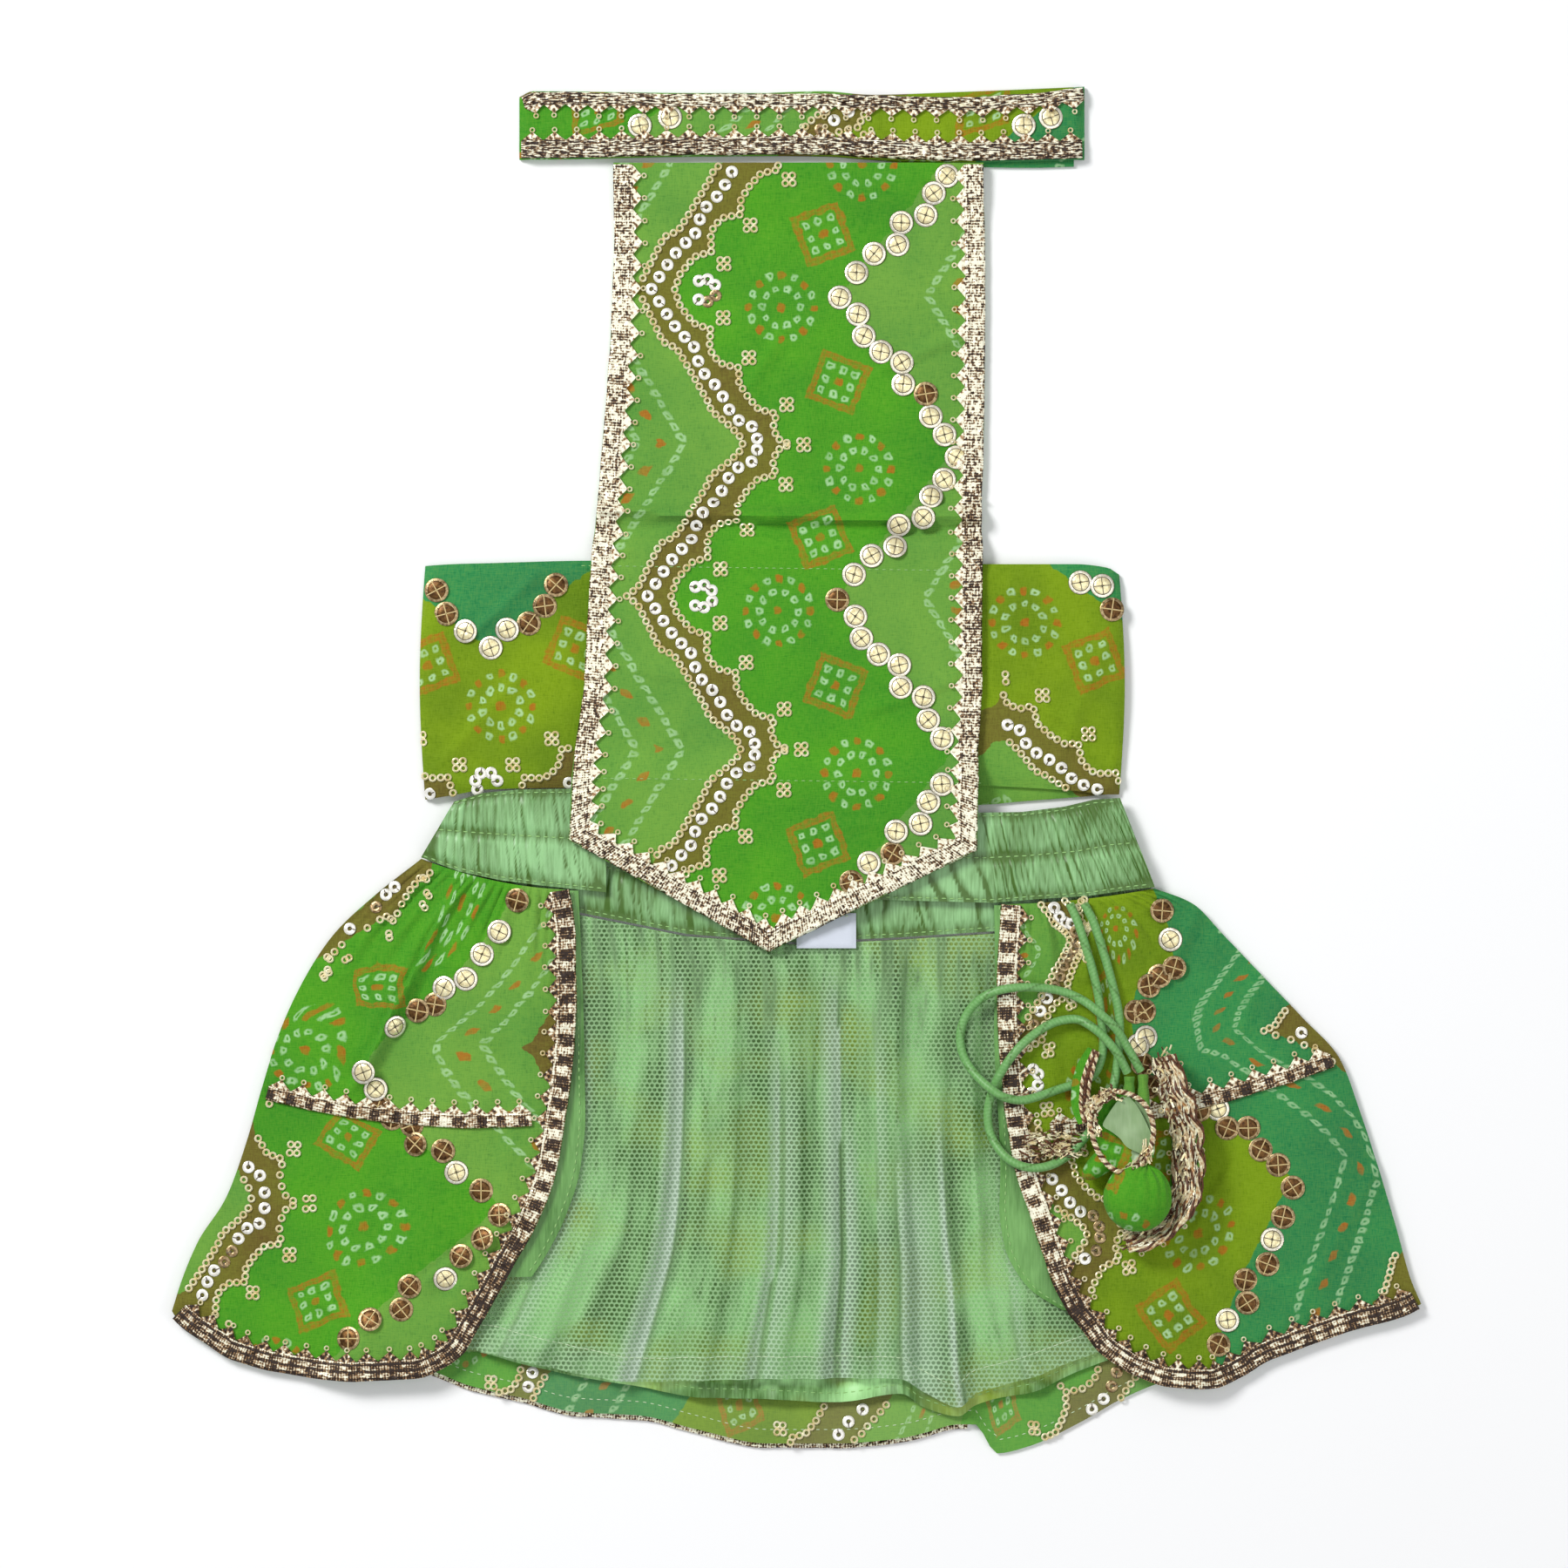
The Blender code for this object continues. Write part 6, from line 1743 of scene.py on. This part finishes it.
def frayed(name, line, reach, count):
    """Ends and loops of foil that stand out of frayed gota, scattered along a line."""
    chance = random.Random(name)
    bm = bmesh.new()
    for _ in range(count):
        i = chance.randrange(len(line) - 1)
        spot = line[i].lerp(line[i + 1], chance.random())
        aside = [chance.uniform(-1, 1) * reach for _ in range(2)]
        spot = spot + Vector(aside + [chance.uniform(-0.2, 0.6)])
        way = (line[i + 1] - line[i]).normalized()
        heading = atan2(way.y, way.x) + chance.gauss(0.0, 0.5)
        length, width = chance.uniform(1.2, 3.4), chance.uniform(0.28, 0.6)
        made = bmesh.ops.create_cube(bm, size=1.0)["verts"]
        bmesh.ops.scale(bm, vec=(length, width, 0.14), verts=made)
        for vert in made:
            vert.co.z += 0.35 * length * (0.25 - (vert.co.x / length) ** 2)
        turn = Matrix.Rotation(heading, 4, "Z") @ Matrix.Rotation(chance.gauss(0.0, 0.45), 4, "Y")
        turn = turn @ Matrix.Rotation(chance.uniform(-0.8, 0.8), 4, "X")
        bmesh.ops.transform(bm, matrix=Matrix.Translation(spot) @ turn, verts=made)
        paint = chance.choice((0, 0, 1))
        for face in {face for vert in made for face in vert.link_faces}:
            face.material_index = paint
    return finished(name, bm, [SEQUIN_FINISHES[CHAIN], braid_dark])


def tassel_head(name, node, start, end, start_radius, end_radius):
    """A flared tube of pleated cloth, bound tight near its start."""
    route = smooth_route([Vector(start).lerp(Vector(end), share) for share in even(3)], 0.6)

    def radius(u, v):
        pleat = 0.06 * cos(2 * pi * 9 * v + 2.0 * wobble(u * 4, v * 3, 1.0))
        bound = 0.16 * exp(-((u - 0.12) / 0.05) ** 2)
        return mix(start_radius, end_radius, u) * (1.0 + pleat - bound)
    return cloth_piece(name, tube_mesh(route, radius, 4.0), node)


def stuffed_ball(name, node, centre, radii, neck, turn=0.0):
    """A ball of cloth drawn together at its neck, the gathers running out from there."""
    bm = bmesh.new()
    bmesh.ops.create_uvsphere(bm, u_segments=64, v_segments=40, radius=1.0)
    for vert in bm.verts:
        angle = atan2(vert.co.y, vert.co.x)
        drawn = smoothstep(-0.7, 1.0, vert.co.z)
        fold = cos(13 * angle + 2.6 * noise.noise(vert.co * 1.6))
        slack = noise.noise(vert.co * 2.4 + Vector((0, 0, 4.0)))
        vert.co *= 1.0 - 0.010 - 0.065 * drawn * (0.5 - 0.5 * fold) - 0.018 * abs(slack)
    bmesh.ops.rotate(bm, matrix=Vector(neck).to_track_quat("Z", "X").to_matrix(), cent=(0, 0, 0),
                     verts=list(bm.verts))
    bmesh.ops.scale(bm, vec=radii, verts=list(bm.verts))
    place = Matrix.Translation(centre) @ Matrix.Rotation(radians(turn), 4, "Z")
    bmesh.ops.transform(bm, matrix=place, verts=list(bm.verts))
    ball = cloth_piece(name, bm, node)
    return ball


front_head = tassel_head("tassel_head_front_cloth", "tassel_head_front", (98.9, -87.1, 7.1),
                         (99.6, -110.6, 10.6), 1.5, 2.3)
back_head = tassel_head("tassel_head_back_cloth", "tassel_head_back", (94.95, -87.5, 8.2),
                        (94.9, -103.6, 8.6), 1.5, 2.0)
front_ball = stuffed_ball("tassel_ball_front_cloth", "tassel_ball_front", (97.0, -121.5, 13.6),
                          (10.0, 10.0, 8.2), (0.25, 1.0, 0.15))
back_ball = stuffed_ball("tassel_ball_back_cloth", "tassel_ball_back", (88.0, -111.0, 9.9),
                         (3.4, 8.4, 4.5), (0.0, 1.0, 0.1), -49.0)
CUP_CENTRE, CUP_HALF, CUP_TURN = Vector((92.3, -100.9, 14.4)), (9.0, 12.0), 14.0
CUP_DEPTH, CUP_NECK = 5.2, 0.06


def cup_place(u, v, inner):
    """The cup's wall: v runs from its mouth to its neck, inner is how far in from outside."""
    angle = 2 * pi * u
    egg = 1.0 - 0.13 * sin(angle + 0.3) + 0.04 * sin(3 * angle + 1.0)
    fold = 0.10 * sin(3 * angle + 0.6) + 0.07 * sin(7 * angle + 2.0)
    reach = egg * mix(1.0, CUP_NECK, v ** 1.6) + fold * sin(pi * v) * (0.5 + 0.5 * inner)
    reach = max(reach - inner * 0.07 * (1 - v), 0.02)
    spot = Vector((cos(angle) * CUP_HALF[0] * reach, sin(angle) * CUP_HALF[1] * reach, 0))
    spot = Matrix.Rotation(radians(CUP_TURN), 3, "Z") @ spot
    crumple = 0.9 * wobble(spot.x * 0.4, spot.y * 0.4, 3.0 + inner) * smoothstep(0.1, 0.5, v)
    sink = 0.45 * sin(angle * 2 + 1.0) * (1 - v)
    level = CUP_DEPTH * (0.42 - v * 0.85) + sink + inner * 0.9 * v + crumple
    return CUP_CENTRE + spot + Vector((0, 0, level))


def open_cup(name, node):
    """A flared cup of lined cloth; its outside is printed and its lining pale satin."""
    bm = grid_mesh(96, 30, lambda u, v: cup_place(u, min(2 * v, 1.0) if v <= 0.5 else 2 - 2 * v,
                                                  0.0 if v <= 0.5 else 1.0))
    shares = bm.verts.layers.float_vector["share"]
    for face in bm.faces:
        inside = sum(vert[shares].y for vert in face.verts) / len(face.verts) > 0.5
        lined = face.calc_center_median().x > CUP_CENTRE.x + 3.0
        face.material_index = int(inside and lined)
    bmesh.ops.remove_doubles(bm, verts=list(bm.verts), dist=0.002)
    mouth = [edge for edge in bm.edges if edge.is_boundary]
    bmesh.ops.bridge_loops(bm, edges=mouth)
    bmesh.ops.recalc_face_normals(bm, faces=list(bm.faces))
    return cloth_piece(name, bm, node, [printed, cup_lining])


back_cup = open_cup("tassel_cup_back_cloth", "tassel_cup_back")
cup_mouth = [cup_place(share, 0.0, 0.4) for share in even(24)]
cup_rim = braid("tassel_cup_back_braid", cup_mouth, 0.85)
for part, start, end, count in (("upper", 0.24, 0.50, 170), ("lower", 0.74, 0.88, 60)):
    line = [cup_place(mix(start, end, share), 0.16, 0.6) + Vector((0, 0, 0.6))
            for share in even(10)]
    frayed("tassel_cup_back_fray_" + part, line, 1.6, count)
FlapRow = namedtuple("FlapRow", "level left right")     # frame pixels
CUP_FLAP = rows_of(
    FlapRow, (1322, 1311, 1319), (1317, 1298, 1321), (1311, 1288, 1321), (1303, 1282, 1319),
    (1295, 1272, 1316), (1288, 1262, 1313), (1276, 1268, 1307), (1264, 1276, 1300),
    (1255, 1283, 1292))


def cup_flap_place(u, v):
    """The part of the back cup's mouth that is turned over and lies in it."""
    level = mix(CUP_FLAP[0].level, CUP_FLAP[-1].level, v)
    x, y = spot_of(mix(read(CUP_FLAP, "left", level), read(CUP_FLAP, "right", level), u), level)
    sag = 0.9 * sin(pi * u) - 0.5 * wobble(x * 0.3, y * 0.3, 2.0)
    return Vector((x, y, CUP_CENTRE.z + 1.9 - sag))


cup_flap = finished("tassel_cup_back_flap", grid_mesh(26, 26, cup_flap_place, wall=0.5),
                    cup_lining)

# Each tassel also has a petal: a strip of the same cloth that curls up along one edge. The
# long one is wound with braids and with lace whose foil has frayed.
Strip = namedtuple("Strip", "width stand points")
PETAL = Strip(5, 1, [(84.6, -79.8, 8.2), (82.2, -85, 8.25), (80.9, -90.5, 8.6),
                         (80.6, -96, 10.5), (81.6, -100.5, 12.5)])
CRESCENT = Strip(7.6, 7, [(104.6, -82, 3.4), (107.6, -92, 4.6), (110.4, -103, 3.8),
                            (111.2, -113, 3.8), (110.2, -121, 4.2), (106.8, -127.6, 5),
                            (101, -132.2, 5.6), (94, -134.6, 5.6)])


def strip_place(strip, crumple):
    """Lays a petal along its points: v runs across it from the edge that stands up."""
    route = smooth_route(strip.points, 0.9)

    def place(u, v):
        goal = u * (len(route) - 1)
        i = min(int(goal), len(route) - 2)
        spot = route[i].lerp(route[i + 1], goal - i)
        along = (route[min(i + 2, len(route) - 1)] - route[max(i - 1, 0)]).normalized()
        side = Vector((-along.y, along.x, 0)).normalized()
        taper = sin(pi * mix(0.12, 0.88, u)) ** 0.5
        wave = crumple * wobble(goal * 0.22, v * 2.5, 6.0)
        spot = spot - side * (strip.width * taper * (v - 0.5) + wave * 0.6)
        spot.z += strip.stand * taper * (1 - v) ** 1.5 + wave * (0.3 + 0.7 * v)
        return spot
    return place


petal_place = strip_place(PETAL, 0.3)
petal = cloth_piece("tassel_petal_cloth", grid_mesh(60, 14, petal_place, wall=0.8),
                    "tassel_petal_left")
petal_edges = []
for part, level, finish in (("outer", 0.0, braid_gilt), ("middle", 0.2, braid_dark),
                            ("inner", 0.42, braid_gilt)):
    line = [petal_place(u, level) + Vector((0, 0, 0.9)) for u in even(12)]
    petal_edges.append(braid("tassel_petal_braid_" + part, line, 0.62, finish=finish))
crescent_place = strip_place(CRESCENT, 1.2)
crescent_mesh = grid_mesh(120, 22, crescent_place, wall=0.8)
crescent_surface = surface_of(crescent_mesh)
crescent = cloth_piece("tassel_crescent_cloth", crescent_mesh, "tassel_cup_front")
crescent_worn = gota_finish("gota_lace_worn", LACE_WIDTH, PICOT,
                            Weave(0.9, 0.5, 0.4, 1.8, 0.7, NEVER_DARKENS, 1.0))
crescent_line = [crescent_place(u, 0.52) for u in even(60)]
for part, side in (("inner", -1), ("outer", 1)):
    lace("tassel_crescent_lace_" + part, crescent_line, side, crescent_surface, None,
         crescent_worn, 2.8, 1.2)
crescent_braids = []
for row, level in enumerate((0.0, 0.20, 0.42, 0.64, 0.88)):
    line = [crescent_place(u, level + 0.12 * wobble(u * 7, row, 1.0))
            + Vector((0, 0, 1.6 + 0.6 * wobble(u * 12, row, 5.0))) for u in even(40)]
    crescent_braids.append(braid("tassel_crescent_braid_" + str(row), line, 0.8, pitch=9.0))
    # Beside each braid, a little lower, lies a thinner dark braid: painted shade between the
    # braids.
    line = [spot + Vector((0.85, 0.2, -0.1)) for spot in line]
    crescent_braids.append(braid("tassel_crescent_shade_" + str(row), line, 0.6, 2, braid_dark,
                                 9.0))
frayed("tassel_crescent_fray", [spot + Vector((0, 0, 1.8)) for spot in crescent_line], 3.4, 330)
frayed("middle_right_fray", [Vector((*spot_of(x, 1312), 8.6)) for x in (1184, 1200, 1216, 1232)],
       3.6, 190)

# Each free end of the drawstring leaves the waistband's casing at the right of the opening,
# and its tassel hangs on its far end.
end_pieces = {"cord_outer": [front_head, front_ball, crescent] + crescent_braids,
              "cord_inner": [back_head, back_ball, back_cup, cup_rim, cup_flap, petal]
                            + petal_edges}
for end in DRAWSTRING:
    cord, route = cords[end.name]
    sum((b - a).length for a, b in zip(route, route[1:]))
    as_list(end_pieces[end.name])
